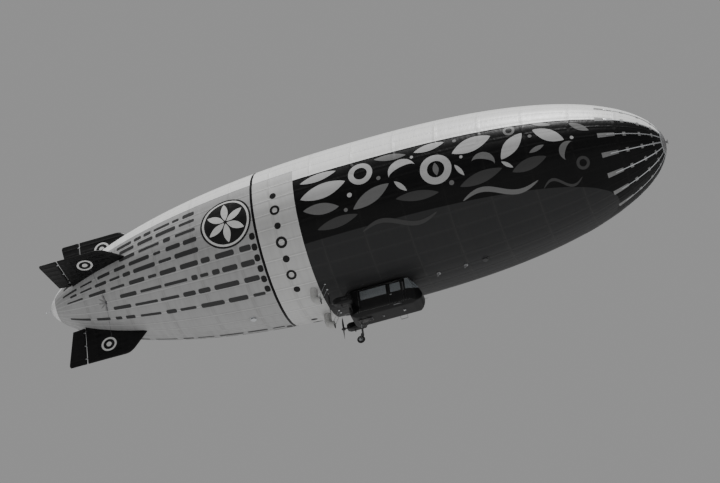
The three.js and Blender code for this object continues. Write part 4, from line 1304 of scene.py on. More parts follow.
def cad_copy(node, name):
    """A copy of a CAD node with its loose triangles merged into whole faces."""
    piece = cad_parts[node].copy()
    piece.data = piece.data.copy()
    piece.parent = None
    piece.matrix_world = Matrix.Identity(4)
    for key in list(piece.keys()):
        del piece[key]
    piece.name = name
    bpy.context.scene.collection.objects.link(piece)
    enter_edit(piece)
    bpy.ops.mesh.remove_doubles(threshold=0.0001)
    bpy.ops.mesh.dissolve_limited(angle_limit=math.radians(1.0))
    leave_edit()
    return piece


def soft_form(nodes, cell):
    """Two search trees: the convex form of some CAD shells, and that form with its creases rounded."""
    trees = []
    sharp = join("form", [cad_copy(node, "form") for node in nodes])
    enter_edit(sharp)
    bpy.ops.mesh.convex_hull()
    leave_edit()
    soft = copy_of(sharp, "soft_form")
    modify(soft, "REMESH", mode="VOXEL", voxel_size=cell)
    modify(soft, "SMOOTH", factor=0.5, iterations=FORM_PASSES)
    for piece in (sharp, soft):
        trees.append(BVHTree.FromPolygons([vertex.co for vertex in piece.data.vertices],
                                          [face.vertices for face in piece.data.polygons]))
        bpy.data.objects.remove(piece)
    return trees


def soften(piece, form, step, inset=0.0):
    """Cuts a shell into a grid, and moves each point as the form's surface outside it was rounded."""
    sharp, soft = form
    low, high = [[pick(vertex.co[k] for vertex in piece.data.vertices) for k in range(3)]
                 for pick in (min, max)]
    enter_edit(piece)
    for axis in range(3):
        for i in range(math.ceil(low[axis] / step), math.floor(high[axis] / step) + 1):
            spot = Vector([i * step if k == axis else 0 for k in range(3)])
            bpy.ops.mesh.select_all(action="SELECT")
            bpy.ops.mesh.bisect(plane_co=spot, plane_no=[float(k == axis) for k in range(3)])
    leave_edit()
    outside = [vertex.co + vertex.normal * inset for vertex in piece.data.vertices]
    for vertex, place in zip(piece.data.vertices, outside):
        on_sharp = sharp.find_nearest(place)[0]
        pull = soft.find_nearest(on_sharp)[0] - on_sharp
        if pull.length > FORM_NOISE:
            vertex.co += pull.normalized() * (pull.length - FORM_NOISE)


def dress(node, name, body, slot, finish, bevel=0.006, angle=40, lining=None, form=None, step=0.045):
    """Rounds a CAD node's edges, gives it its finish, and shows it in the node's place."""
    piece = cad_copy(node, name)
    round_edges(piece, bevel, angle)
    if form:
        soften(piece, form, step)
    smooth(piece, 30 if form else 50)
    modify(piece, "WEIGHTED_NORMAL", keep_sharp=True)
    paint(piece, finish)
    if lining:
        piece.data.materials.append(lining)
        for face in piece.data.polygons:
            inward = (CABIN_MIDDLE - face.center).normalized()
            face.material_index = int(face.normal.dot(inward) > 0.25)
    settle(piece, body, slot, node)


def curved_pane(node, name, form):
    """Rounds the outer sheet of a pane as the shell round it was, and gives it its thickness again."""
    def lies_deep(face):
        return (form[0].find_nearest(face.center)[0] - face.center).length > PANE_INSET + 0.002

    sheet = cad_copy(node, name)
    select_faces(sheet, lies_deep)
    bpy.ops.mesh.delete(type="FACE")
    leave_edit()
    soften(sheet, form, 0.045, PANE_INSET)
    modify(sheet, "CORRECTIVE_SMOOTH", factor=0.5, iterations=6, use_only_smooth=True, use_pin_boundary=True)
    modify(sheet, "SOLIDIFY", thickness=PANE_THICK, offset=-1)
    complete(sheet, window_glass, "hull", "glass", node, angle=30)


CABIN_SHELLS = ("cabin_floor", "cabin_roof", "cabin_nose", "cabin_rear", "cabin_side_starboard",
                "cabin_side_port")
cabin_form = soft_form(CABIN_SHELLS, 0.025)
for node in CABIN_SHELLS:
    dress(node, f"{node}_shell", "hull", "gondola", gloss_black, lining=cabin_lining, form=cabin_form)
for side, _ in SIDES:
    dress(f"door_{side}", f"door_{side}_shell", f"door_{side}", "gondola", gloss_black, 0.0025,
          lining=cabin_lining, form=cabin_form)
    dress(f"door_glass_{side}", f"door_{side}_pane", f"door_{side}", "glass", window_glass, PANE_EDGE)
    dress(f"side_glass_{side}", f"side_{side}_pane", "hull", "glass", window_glass, PANE_EDGE)
    curved_pane(f"windscreen_{side}", f"windscreen_{side}_pane", cabin_form)
dress("rear_glass", "rear_pane", "hull", "glass", window_glass, PANE_EDGE)


# Fairing: a black fabric skirt over foam blocks closes the gap between the gondola's roof and the belly. It
# flares out where it is laced to the envelope, and a row of small studs holds its edge.
FAIRING_FOOT = -5.079
FAIRING_STEPS = 132
FAIRING_MIDDLE = Vector((-0.4, 0))
FAIRING_SINK = 0.012
FAIRING_PLAN = (
    (1.65, 0.09), (1.6, 0.3), (1.45, 0.52), (1.18, 0.69), (0.8, 0.78), (-0.35, 0.78),
    (-1.5, 0.78), (-1.95, 0.71), (-2.25, 0.56), (-2.44, 0.33), (-2.5, 0.09),
)
# share of the way up to the belly, flare outwards
FAIRING_RINGS = ((0.0, 0.0), (0.3, 0.002), (0.6, 0.012), (0.8, 0.028), (0.92, 0.048), (1.0, 0.075))
STUD_EVERY = 4


def smooth_loop(points, count):
    """Places at even shares of a smooth closed curve through the points."""
    places = []
    for k in range(count):
        i, t = divmod(k * len(points) / count, 1)
        a, b, c, d = (Vector(points[(int(i) + step) % len(points)]) for step in (-1, 0, 1, 2))
        places.append(0.5 * (2 * b + (c - a) * t + (2 * a - 5 * b + 4 * c - d) * t**2
                             + (3 * b - a - 3 * c + d) * t**3))
    return places


def dome(place, normal, radius, height):
    """A small domed head: a rivet, stud or bolt seen from outside."""
    head = start("head", bpy.ops.mesh.primitive_ico_sphere_add, subdivisions=1, radius=1)
    for vertex in head.data.vertices:
        vertex.co = Vector((vertex.co.x * radius, vertex.co.y * radius, vertex.co.z * height))
    return moved(head, place, Vector(normal).to_track_quat("Z", "X").to_matrix())


outline = smooth_loop([*FAIRING_PLAN, *[(x, -y) for x, y in reversed(FAIRING_PLAN)]], FAIRING_STEPS)
rings = []
for share, flare in FAIRING_RINGS:
    row = []
    for i, place in enumerate(outline):
        along = outline[(i + 1) % len(outline)] - outline[i - 1]
        out = Vector((along.y, -along.x)).normalized()
        out = out if out.dot(place - FAIRING_MIDDLE) > 0 else -out
        spot = place + out * flare
        belly = -math.sqrt(skin_radius(spot.x) ** 2 - spot.y**2) + FAIRING_SINK
        row.append((spot.x, spot.y, FAIRING_FOOT + (belly - FAIRING_FOOT) * share))
    rings.append(row)
skirt_cloth = fabric_material("skirt_black", (0.006, 0.006, 0.0063), soil=0.12, rough=0.5, gloss=0.2,
                              pucker=0.8)
complete(lofted("fairing_skirt", rings), skirt_cloth, "hull", "gondola", "gondola_fairing", angle=60)
studs = join("fairing_studs", [dome((x, y, z - 0.004), (0, 0, -1), 0.011, 0.006)
                               for x, y, z in rings[-2][::STUD_EVERY]])
paint(studs, satin_alloy)
settle(studs, "hull", "metal")


# Window frames and seals: black rubber mouldings of one half-round section hold the panes, and thinner rubber
# seals close the windscreen's sill and posts and the doorway. A door's own frame and seal swing with it.
CABIN_HALF = 0.75
SIDE_WINDOW = ((-1.48, -5.96), (0.15, -5.29))
DOOR_WINDOW = ((0.38, -5.96), (1.04, -5.33))
REAR_WINDOW = ((-0.38, -5.94), (0.38, -5.56))
DOORWAY = ((0.278, -6.642), (1.142, -5.243))
WINDOW_CORNER = 0.05
MOULDING = ((-0.016, -0.006), (-0.014, 0.003), (-0.006, 0.008), (0.006, 0.008), (0.014, 0.003),
            (0.016, -0.006))
rubber = hard_material("rubber", (0.012, 0.012, 0.012), 0.75, dust=0.25, wear=0.0, grain=0.4, gloss=0.3)


def rounded_rectangle(low, high, corner, steps=6):
    """The corners of a rectangle rounded to arcs, as (across, up) points."""
    points = []
    corners = ((high[0], high[1]), (low[0], high[1]), (low[0], low[1]), (high[0], low[1]))
    for quarter, (x, y) in enumerate(corners):
        centre_x = x - corner if x == high[0] else x + corner
        centre_y = y - corner if y == high[1] else y + corner
        for i in range(steps + 1):
            angle = math.pi / 2 * (quarter + i / steps)
            points.append((centre_x + corner * math.cos(angle), centre_y + corner * math.sin(angle)))
    return points


def swept(name, path, normal, profile, closed=False):
    """A section of (sideways, along the normal) points carried along a path that lies in a plane."""
    path, normal = [Vector(place) for place in path], Vector(normal)
    rings = []
    for i, place in enumerate(path):
        ahead = path[(i + 1) % len(path)] if closed or i + 1 < len(path) else place
        behind = path[i - 1] if closed or i else place
        side = (ahead - behind).cross(normal).normalized()
        rings.append([place + side * a + normal * b for a, b in profile])
    return lofted(name, rings + rings[:1] if closed else rings)


def round_section(radius, sides=10, first=0.0):
    """Places evenly round a circle, as (across, up) points, the first of them some steps on."""
    angles = [2 * math.pi * (i + first) / sides for i in range(sides)]
    return [(radius * math.cos(angle), radius * math.sin(angle)) for angle in angles]


def wall_frame(name, window, sign, grow=0.0, profile=MOULDING):
    """A moulding round a window or doorway in a side wall."""
    (x0, z0), (x1, z1) = window
    loop = rounded_rectangle((x0 - grow, z0 - grow), (x1 + grow, z1 + grow), WINDOW_CORNER)
    return swept(name, [(x, sign * CABIN_HALF, z) for x, z in loop], (0, sign, 0), profile, closed=True)


def outwards(sign, low, high):
    """Two distances from the middle as a rising pair on one side."""
    return sorted((sign * low, sign * high))


SEAL = ((-0.006, -0.004), (-0.006, 0.001), (0.0, 0.003), (0.006, 0.001), (0.006, -0.004))
SILL_HEIGHT = -5.962
SILL_PATH = ((1.3, 0.752), (1.58, 0.692), (1.84, 0.592), (2.06, 0.462), (2.09, 0.4), (2.09, 0.0))
sill_path = [(x, -y, SILL_HEIGHT) for x, y in SILL_PATH] + [(x, y, SILL_HEIGHT) for x, y in SILL_PATH[-2::-1]]
SILL_SECTION = ((-0.006, -0.014), (0.004, -0.012), (0.008, -0.004), (0.008, 0.004), (0.004, 0.012),
                (-0.006, 0.014))
POST_X = 1.304
POST_EDGE = ((0.75, -5.965), (0.75, -5.3), (0.731, -5.2))
GAP_SEALS = ((0.262, 0.288), (1.134, 1.16))
GAP_SEAL_REACH = (-6.42, -5.31)
GAP_SEAL_HALF = (0.7, 0.706)


def gap_seals(sign):
    """Flat strips inside the doorway's upright edges, which the shut door lies against."""
    y0, y1 = outwards(sign, *GAP_SEAL_HALF)
    z0, z1 = GAP_SEAL_REACH
    return [block("gap_seal", (x0, y0, z0), (x1, y1, z1)) for x0, x1 in GAP_SEALS]


sill = swept("windscreen_sill", sill_path, (0, 0, 1), SILL_SECTION)
rear_loop = rounded_rectangle(*REAR_WINDOW, WINDOW_CORNER)
rear_frame = swept("rear_frame", [(-2.3, y, z) for y, z in rear_loop], (-1, 0, 0), MOULDING, closed=True)
for piece in (sill, rear_frame):
    complete(piece, rubber, "hull", "gondola", angle=50)
for side, sign in SIDES:
    for name, body, parts in (
            (f"side_frame_{side}", "hull", [
                wall_frame("frame", SIDE_WINDOW, sign),
                swept("post_seal", [(POST_X, sign * y, z) for y, z in POST_EDGE], (sign, 0, 0), SILL_SECTION),
                *gap_seals(sign)]),
            (f"door_trim_{side}", f"door_{side}", [
                wall_frame("frame", DOOR_WINDOW, sign),
                wall_frame("seal", DOORWAY, sign, -0.03, SEAL)])):
        complete(join(name, parts), rubber, body, "gondola", angle=50)


# Rivets, handles and steps: rows of low domed rivets along the panels' edges, a lever handle and a grab bar
# at each door, and a step of bent tube with a flat tread below it.
RIVET_RADIUS = 0.007
RIVET_HEIGHT = 0.003
RIVET_PITCH = 0.055
# first and last (x, z) of each row on a side wall
RIVET_ROWS = (
    ((-1.54, -5.235), (0.2, -5.235)), ((-1.54, -6.02), (0.2, -6.02)), ((-1.54, -6.4), (0.2, -6.4)),
    ((-1.56, -6.35), (-1.56, -5.29)), ((0.225, -6.35), (0.225, -5.29)), ((1.255, -6.35), (1.255, -5.29)),
    ((-1.3, -6.46), (1.25, -6.46)),
)


def rivet_row(first, last, sign):
    (x0, z0), (x1, z1) = first, last
    count = max(2, round(math.hypot(x1 - x0, z1 - z0) / RIVET_PITCH))
    heads = []
    for i in range(count + 1):
        place = Vector((x0 + (x1 - x0) * i / count, sign * CABIN_HALF, z0 + (z1 - z0) * i / count))
        if not (DOORWAY[0][0] - 0.02 < place.x < DOORWAY[1][0] + 0.02 and place.z > DOORWAY[0][1]):
            heads.append(dome(place, (0, sign, 0), RIVET_RADIUS, RIVET_HEIGHT))
    return heads


def bent_tube(name, path, radius, normal):
    """A tube that follows straight stretches with small bends between them."""
    places = [Vector(path[0])]
    for before, corner, after in zip(path, path[1:], path[2:]):
        before, corner, after = Vector(before), Vector(corner), Vector(after)
        entry = corner + (before - corner).normalized() * radius * 3
        leave = corner + (after - corner).normalized() * radius * 3
        places += [entry.lerp(corner, t).lerp(corner.lerp(leave, t), t) for t in (0, 0.25, 0.5, 0.75, 1)]
    places.append(Vector(path[-1]))
    return swept(name, places, normal, round_section(radius))


for side, sign in SIDES:
    rivets = join(f"rivets_{side}", [head for row in RIVET_ROWS for head in rivet_row(*row, sign)])
    paint(rivets, gloss_black)
    settle(rivets, "hull", "gondola")

    near, far = outwards(sign, CABIN_HALF - 0.002, CABIN_HALF + 0.008)
    plate = block("plate", (0.34, near, -6.125), (0.46, far, -6.065), 0.003)
    spindle = rod("spindle", (0.37, sign * 0.755, -6.095), (0.37, sign * 0.785, -6.095), 0.011, 16, 0.002)
    near, far = outwards(sign, 0.775, 0.787)
    lever = block("lever", (0.355, near, -6.107), (0.475, far, -6.083), 0.005)
    handle = join(f"door_handle_{side}", [plate, spindle, lever])
    complete(handle, satin_alloy, f"door_{side}", "metal")

    grab_path = [(1.21, sign * y, z) for y, z in ((0.74, -5.45), (0.81, -5.45), (0.81, -6.0), (0.74, -6.0))]
    step_path = [(x, sign * y, z) for x, y, z in ((0.5, 0.6, -6.8), (0.5, 0.8, -6.93), (0.92, 0.8, -6.93),
                                                  (0.92, 0.6, -6.8))]
    near, far = outwards(sign, 0.775, 0.825)
    bars = join(f"grab_and_step_{side}", [
        bent_tube("grab", grab_path, 0.012, (1, 0, 0)),
        bent_tube("step", step_path, 0.014, (0, sign * 0.545, 0.8387)),
        block("tread", (0.53, near, -6.925), (0.89, far, -6.912), 0.004)])
    complete(bars, grey_paint, "hull", "metal", angle=50)


# Seats: two front seats on a pair of cross rails and a bench behind, in dark woven upholstery over foam. The
# pads are blown up a little as cloth, then sewn with channels, and the cushions are corded round their edges.
PAD_VOXEL = 0.014
PAD_CAP = 0.012
PAD_SHRINK = 0.008
PAD_PRESSURE = 4
PAD_FRAMES = 20
CHANNEL = {"every": 0.115, "depth": 0.007, "width": 0.011}


def upholstery_group():
    """A plain weave of two yarns, with darker worn patches."""
    group, work, asked = open_group("upholstery", Color="Color", Weave="Float")
    place = add(group, "ShaderNodeTexCoord").outputs["Object"]
    waves = {"Vector": place, "Scale": 110.0, "Distortion": 0.6}
    warp, weft = (add(group, "ShaderNodeTexWave", waves, bands_direction=way).outputs[1]
                  for way in ("X", "DIAGONAL"))
    worn = noise(group, place, 5.0, 7.0, 0.65)
    yarn = work("MAXIMUM", warp, weft)
    shade = work("MULTIPLY_ADD", yarn, 0.5, work("MULTIPLY_ADD", worn, 0.7, 0.3))
    rough = work("MULTIPLY_ADD", worn, -0.15, 0.95)
    relief = work("MULTIPLY", yarn, asked["Weave"])
    return close_group(group, scaled(group, asked["Color"], shade), rough, relief, 0.6, 0.001)


upholstery = upholstery_group()


def upholstery_material(name, color):
    return grouped_material(name, upholstery, {"Color": (*color, 1), "Weave": 1.0},
                            {"Sheen Weight": 0.25, "Sheen Roughness": 0.4})


seat_cloth = upholstery_material("seat_cloth", (0.055, 0.06, 0.068))
piping_cloth = upholstery_material("seat_piping", (0.02, 0.021, 0.023))


def puff(piece):
    """Blows a closed shape up a little as cloth, and caps how far any of its points may move."""
    modify(piece, "REMESH", mode="VOXEL", voxel_size=PAD_VOXEL)
    before = [vertex.co.copy() for vertex in piece.data.vertices]
    activate(piece)
    cloth = piece.modifiers.new("cloth", "CLOTH")
    cloth.settings.use_pressure = True
    cloth.settings.uniform_pressure_force = PAD_PRESSURE
    cloth.settings.effector_weights.gravity = 0
    scene = bpy.context.scene
    for frame_number in range(1, PAD_FRAMES + 1):
        scene.frame_set(frame_number)
    bpy.ops.object.modifier_apply(modifier=cloth.name)
    scene.frame_set(1)
    for vertex, was in zip(piece.data.vertices, before):
        step = vertex.co - was
        if step.length > PAD_CAP:
            vertex.co = was + step.normalized() * PAD_CAP
    modify(piece, "SUBSURF", levels=1)


def seams_between(low, high):
    count = max(1, round((high - low) / CHANNEL["every"]))
    return [low + (high - low) * (i + 1) / (count + 1) for i in range(count)]


def cushion(name, low, high, out):
    """A pad between two corners, with sewn channels side by side across the cabin, pressed in on an axis."""
    low, high = Vector(low), Vector(high)
    inside = Vector((PAD_SHRINK, PAD_SHRINK, PAD_SHRINK))
    pad = block(name, low + inside, high - inside)
    modify(pad, "BEVEL", width=min(high - low) * 0.3, segments=4)
    puff(pad)
    middle = (low + high) / 2
    seams = seams_between(low.y, high.y)
    for vertex in pad.data.vertices:
        for seam in seams:
            from_seam = (vertex.co.y - seam) / CHANNEL["width"]
            pull = CHANNEL["depth"] * math.exp(-from_seam * from_seam)
            vertex.co[out] += pull if vertex.co[out] < middle[out] else -pull
    smooth(pad, 180)
    paint(pad, seat_cloth)
    return pad


# name, low corner, high corner, number of the axis that the channels are pressed along
SEAT_PADS = (
    ("seat_cushion", (0.43, 0.1, -6.57), (0.88, 0.56, -6.44), 2),
    ("seat_back", (0.42, 0.1, -6.43), (0.54, 0.56, -5.862), 0),
    ("headrest", (0.435, 0.21, -5.855), (0.525, 0.45, -5.692), 0),
)
for name, low, high, out in SEAT_PADS:
    port_pad = cushion(f"{name}_port", low, high, out)
    starboard_pad = copy_of(port_pad, f"{name}_starboard")
    for vertex in starboard_pad.data.vertices:
        vertex.co.y = -vertex.co.y
    close_up(starboard_pad)
    for pad in (port_pad, starboard_pad):
        settle(pad, "hull", "seat", "front_seats")

BENCH_PADS = (
    ("bench_cushion", (-1.3, -0.64, -6.57), (-0.76, 0.64, -6.44), 2),
    ("bench_back", (-1.38, -0.64, -6.43), (-1.255, 0.64, -5.8), 0),
)
for name, low, high, out in BENCH_PADS:
    pad = cushion(name, low, high, out)
    settle(pad, "hull", "seat", "rear_bench")

# Piping: low and high corner of each cushion's loop, and the levels of its two cords
CORD_LOOPS = (((0.433, -0.557), (0.877, -0.103)), ((0.433, 0.103), (0.877, 0.557)),
              ((-1.297, -0.637), (-0.763, 0.637)))
CORD_LEVELS = (-6.452, -6.558)
CORD_RADIUS = 0.006
cords = []
for low, high in CORD_LOOPS:
    loop = rounded_rectangle(low, high, 0.045)
    for z in CORD_LEVELS:
        path = [(x, y, z) for x, y in loop]
        cords.append(swept("cord", path, (0, 0, 1), round_section(CORD_RADIUS, 8), closed=True))
complete(join("seat_piping", cords), piping_cloth, "hull", "seat", angle=60)

CABIN_FLOOR = -6.859
PAD_UNDER = -6.575
parts = [block("rail", (x, -0.44, CABIN_FLOOR), (x + 0.04, 0.44, CABIN_FLOOR + 0.04), 0.006)
         for x in (0.5, 0.78)]
parts.append(block("bench_base", (-1.25, -0.42, CABIN_FLOOR), (-0.8, 0.42, PAD_UNDER), 0.01))
for sign in (-1, 1):
    for leg_y, post_y in ((0.2, 0.23), (0.46, 0.43)):
        near, far = outwards(sign, leg_y - 0.012, leg_y + 0.012)
        parts.append(block("leg", (0.51, near, CABIN_FLOOR + 0.038), (0.81, far, PAD_UNDER), 0.004))
        parts.append(rod("post", (0.48, sign * post_y, -5.9), (0.48, sign * post_y, -5.82), 0.007))
complete(join("seat_stands", parts), grey_paint, "hull", "metal")


# Instrument panel: a moulded desk under a glare shield, with round dials facing the seats, and a pedestal
# with radios and power levers. The elevator wheel stands on its own foot between the desk and the seats.
PANEL_FACE = 1.5
HOOD_FACE = PANEL_FACE - 0.07
DIAL_Z = -6.085
DIAL_TICKS = 12
RADIO_LEVELS = (-6.24, -6.315, -6.39)
LEVER_PLACES = (-0.05, 0.0, 0.05)
# across, radius, angle of the needle in degrees
DIALS = (
    (-0.39, 0.04, 40), (-0.28, 0.04, 200), (-0.17, 0.04, 120), (0.17, 0.04, 300), (0.28, 0.04, 75),
    (0.39, 0.04, 160), (-0.06, 0.033, 20), (0.06, 0.033, 240),
)
dial_white = hard_material("dial_white", (0.75, 0.75, 0.72), 0.5, dust=0.05, wear=0.0)


def dial(y, radius, needle):
    """A round instrument that looks aft: bezel, face, ticks and a needle."""
    bezel = turned("bezel", [(0, radius * 0.86), (0, radius * 1.12), (-0.006, radius * 1.16),
                             (-0.014, radius * 1.1), (-0.014, radius * 0.96), (-0.008, radius * 0.86)], 36)
    marks = []
    for i in range(DIAL_TICKS):
        tick = block("tick", (-0.005, -0.0012, radius * 0.66), (-0.003, 0.0012, radius * 0.8))
        marks.append(moved(tick, turn=about_x(360 / DIAL_TICKS * i)))
    hand = block("needle", (-0.007, -0.0015, -radius * 0.15), (-0.005, 0.0015, radius * 0.62))
    marks.append(moved(hand, turn=about_x(needle)))
    face = turned("face", [(0.002, 0), (0.002, radius * 0.9), (-0.002, radius * 0.9), (-0.002, 0)], 36)
    for piece in (bezel, face, *marks):
        moved(piece, (PANEL_FACE, y, DIAL_Z))
    return [bezel, face], marks


desk = block("desk", (PANEL_FACE, -0.47, -6.2), (1.64, 0.47, -5.985), 0.02)
hood_path = [(HOOD_FACE, y, z) for y, z in ((-0.47, -6.0), (-0.3, -5.972), (0.3, -5.972), (0.47, -6.0))]
hood = swept("hood", hood_path, (1, 0, 0), [(0.0, 0.0), (0.012, 0.0), (0.012, 0.17), (0.0, 0.17)])
pedestal = block("pedestal", (1.4, -0.12, CABIN_FLOOR), (1.56, 0.12, -6.15), 0.012)
bodies, marks = [desk, hood, pedestal], []
for row in DIALS:
    rings_of_dial, ticks = dial(*row)
    bodies += rings_of_dial
    marks += ticks
for z in RADIO_LEVELS:
    bodies.append(block("radio", (1.392, -0.09, z - 0.028), (1.402, 0.09, z + 0.028), 0.003))
    for y in (-0.065, 0.065):
        bodies.append(rod("knob", (1.375, y, z), (1.395, y, z), 0.012, 16, 0.003))
for y in LEVER_PLACES:
    bodies.append(rod("lever", (1.47, y, -6.155), (1.44, y, -6.075), 0.005, 8))
    bodies.append(rod("grip", (1.444, y - 0.012, -6.07), (1.444, y + 0.012, -6.07), 0.012, 14, 0.004))
complete(join("instrument_desk", bodies), black_plastic, "hull", "plastic", "instrument_panel")
marks = join("dial_marks", marks)
paint(marks, dial_white)
settle(marks, "hull", "plastic")

WHEEL_HUB = Vector((1.04, 0, -6.42))
SPOKES = 6
parts = [wire_ring("rim", 0.19, 0.013, 72, 14, rotation=(math.pi / 2, 0, 0), location=WHEEL_HUB)]
for x, z in round_section(1, SPOKES):
    arm = Vector((x, 0, z))
    parts.append(rod("spoke", WHEEL_HUB + arm * 0.02, WHEEL_HUB + arm * 0.185, 0.007, 12))
for y0, y1, radius in ((-0.055, 0.02, 0.02), (-0.03, 0.012, 0.032), (0.02, 0.028, 0.014)):
    ends = [WHEEL_HUB + Vector((0, y, 0)) for y in (y0, y1)]
    parts.append(rod("hub", *ends, radius, 28, 0.003))
parts.append(block("stand", (1.0, -0.062, CABIN_FLOOR + 0.02), (1.08, -0.038, WHEEL_HUB.z + 0.03), 0.006))
parts.append(block("foot", (0.955, -0.08, CABIN_FLOOR), (1.125, -0.02, CABIN_FLOOR + 0.025), 0.006))
for x in (0.975, 1.105):
    parts.append(dome((x, -0.05, CABIN_FLOOR + 0.025), (0, 0, 1), 0.011, 0.007))
complete(join("elevator_handwheel", parts), grey_paint, "hull", "metal", "elevator_wheel")


# Outriggers and cowls: a short alloy wing carries each engine pod out from the cabin's rear, braced from
# below. The pod's cowl is beaten sheet in black, with a slatted intake, louvres, latches and riveted seams.
POD = {"y": 1.35, "z": -6.1, "half": 0.22, "up": 0.25}
LOUVRES = 7
LATCH_LEVELS = (-0.1, 0.1)
SLAT_LEVELS = (-0.065, -0.035, -0.005, 0.025)
SEAM_RIVETS = 14
pod_trim = hard_material("pod_trim", (0.022, 0.022, 0.023), 0.4, dust=0.15, wear=0.6, bare=0.3)


def at_pod(piece, sign):
    return moved(piece, (0, sign * POD["y"], POD["z"]))


for side, sign in SIDES:
    dress(f"outrigger_{side}", f"outrigger_{side}_wing", "hull", "gondola", gloss_black, 0.008)
    dress(f"cowl_{side}", f"cowl_{side}_shell", "hull", "gondola", gloss_black, 0.004, 60,
          form=soft_form([f"cowl_{side}"], 0.01), step=0.022)

    fittings = []
    low, high = outwards(sign, POD["half"] - 0.004, POD["half"] + 0.012)
    for i in range(LOUVRES):
        x = -2.44 + i * 0.05
        fittings.append(block("louvre", (x, low, -0.075), (x + 0.025, high, 0.075), 0.006))
    low, high = outwards(sign, POD["half"] - 0.004, POD["half"] + 0.01)
    for z in LATCH_LEVELS:
        fittings.append(block("latch", (-2.03, low, z - 0.014), (-1.97, high, z + 0.014), 0.004))
    for i in range(SEAM_RIVETS):
        for y in (-0.1, 0.1):
            for up in (-1, 1):
                fittings.append(dome((-2.5 + i * 0.048, y, up * POD["up"]), (0, 0, up), 0.006, RIVET_HEIGHT))
    for z in SLAT_LEVELS:
        fittings.append(block("slat", (-1.8, -0.088, z - 0.004), (-1.765, 0.088, z + 0.004), 0.002))
    fittings.append(turned("outlet", [(-2.944, 0.121), (-2.944, 0.136), (-2.957, 0.136), (-2.961, 0.128),
                                      (-2.957, 0.121)], 40))
    complete(at_pod(join(f"cowl_{side}_fittings", fittings), sign), pod_trim, "hull", "metal")


# Engines: an air-cooled block inside each cowl, with fins cast on, a shaft to the propeller's flange and an
# exhaust stub that comes out underneath.
EXHAUST = Vector((-2.5, 0.09, 0))
ENGINE_FINS = 11
FLANGE_BOLTS = 8
cast_alloy = hard_material("cast_alloy", (0.1, 0.1, 0.102), 0.5, metal=0.7, dust=0.3, grain=0.5)
for side, sign in SIDES:
    parts = [block("case", (-2.59, -0.15, -0.14), (-2.05, 0.15, 0.15), 0.02),
             rod("shaft", (-2.5, 0, 0), (-3.11, 0, 0), 0.042, 32)]
    for i in range(ENGINE_FINS):
        x = -2.575 + i * 0.05
        parts.append(block("fin", (x, -0.163, -0.15), (x + 0.008, 0.163, 0.163), 0.002))
    parts.append(turned("flange", [(-3.112, 0), (-3.112, 0.077), (-3.109, 0.08), (-3.095, 0.08),
                                   (-3.092, 0.077), (-3.092, 0.055), (-3.075, 0.046), (-3.06, 0)], 40))
    for y, z in round_section(0.066, FLANGE_BOLTS):
        parts.append(dome((-3.092, y, z), (1, 0, 0), 0.007, 0.007))
    pipe = turned("exhaust", [(-0.1, 0), (-0.1, 0.038), (-0.255, 0.038), (-0.26, 0.042), (-0.275, 0.042),
                              (-0.28, 0.038), (-0.328, 0.038), (-0.33, 0.034), (-0.24, 0.033),
                              (-0.24, 0)], 32, (0, 0, 1))
    parts.append(moved(pipe, EXHAUST))
    engine = at_pod(join(f"engine_{side}_block", parts), sign)
    complete(engine, cast_alloy, "hull", "engine", f"engine_{side}")


# Propellers: two carved blades on a hub behind each pod, twisted from root to tip, black with pale tips, and
# a spun spinner bolted to the shaft's flange. They push, so the spinner points aft.
PROPELLER = {"radius": 0.85, "middle": -3.205, "hub": 0.095, "tip_from": 0.74}
# share of the radius, chord, thickness, pitch in degrees
BLADE = ((0.06, 0.09, 0.06, 60), (0.2, 0.12, 0.042, 50), (0.45, 0.15, 0.026, 32), (0.75, 0.125, 0.016, 21),
         (0.95, 0.08, 0.009, 17), (1.0, 0.04, 0.005, 16))
BLADE_RINGS = 34
BLADE_POINTS = 20
SPINNER_RIVETS = 10
spinner_black = hard_material("spinner_black", (0.012, 0.012, 0.0125), 0.3, dust=0.12, wear=0.4, gloss=0.4)
tip_paint = hard_material("blade_tip_paint", (0.55, 0.55, 0.54), 0.4, dust=0.1, wear=0.5, bare=0.05)


def blade_at(share):
    """Chord, thickness and pitch between two rows of the table."""
    for (s0, *first), (s1, *last) in zip(BLADE, BLADE[1:]):
        if share <= s1 + 1e-9:
            break
    t = (share - s0) / (s1 - s0)
    return [a + (b - a) * t for a, b in zip(first, last)]


def blade_ring(share):
    """One section of a blade: a rounded nose, its thickest place a third back, and a thin trailing edge."""
    chord, thick, pitch = blade_at(share)
    angle = math.radians(pitch)
    points = []
    for i in range(BLADE_POINTS):
        round_share = 2 * math.pi * i / BLADE_POINTS
        along = -0.5 * math.cos(round_share)
        fat = math.sin(round_share) * 0.5 * (1 - 0.35 * (along + 0.5))
        a, b = along * chord, fat * thick
        points.append((PROPELLER["middle"] + a * math.sin(angle) + b * math.cos(angle),
                       a * math.cos(angle) - b * math.sin(angle), share * PROPELLER["radius"]))
    return points


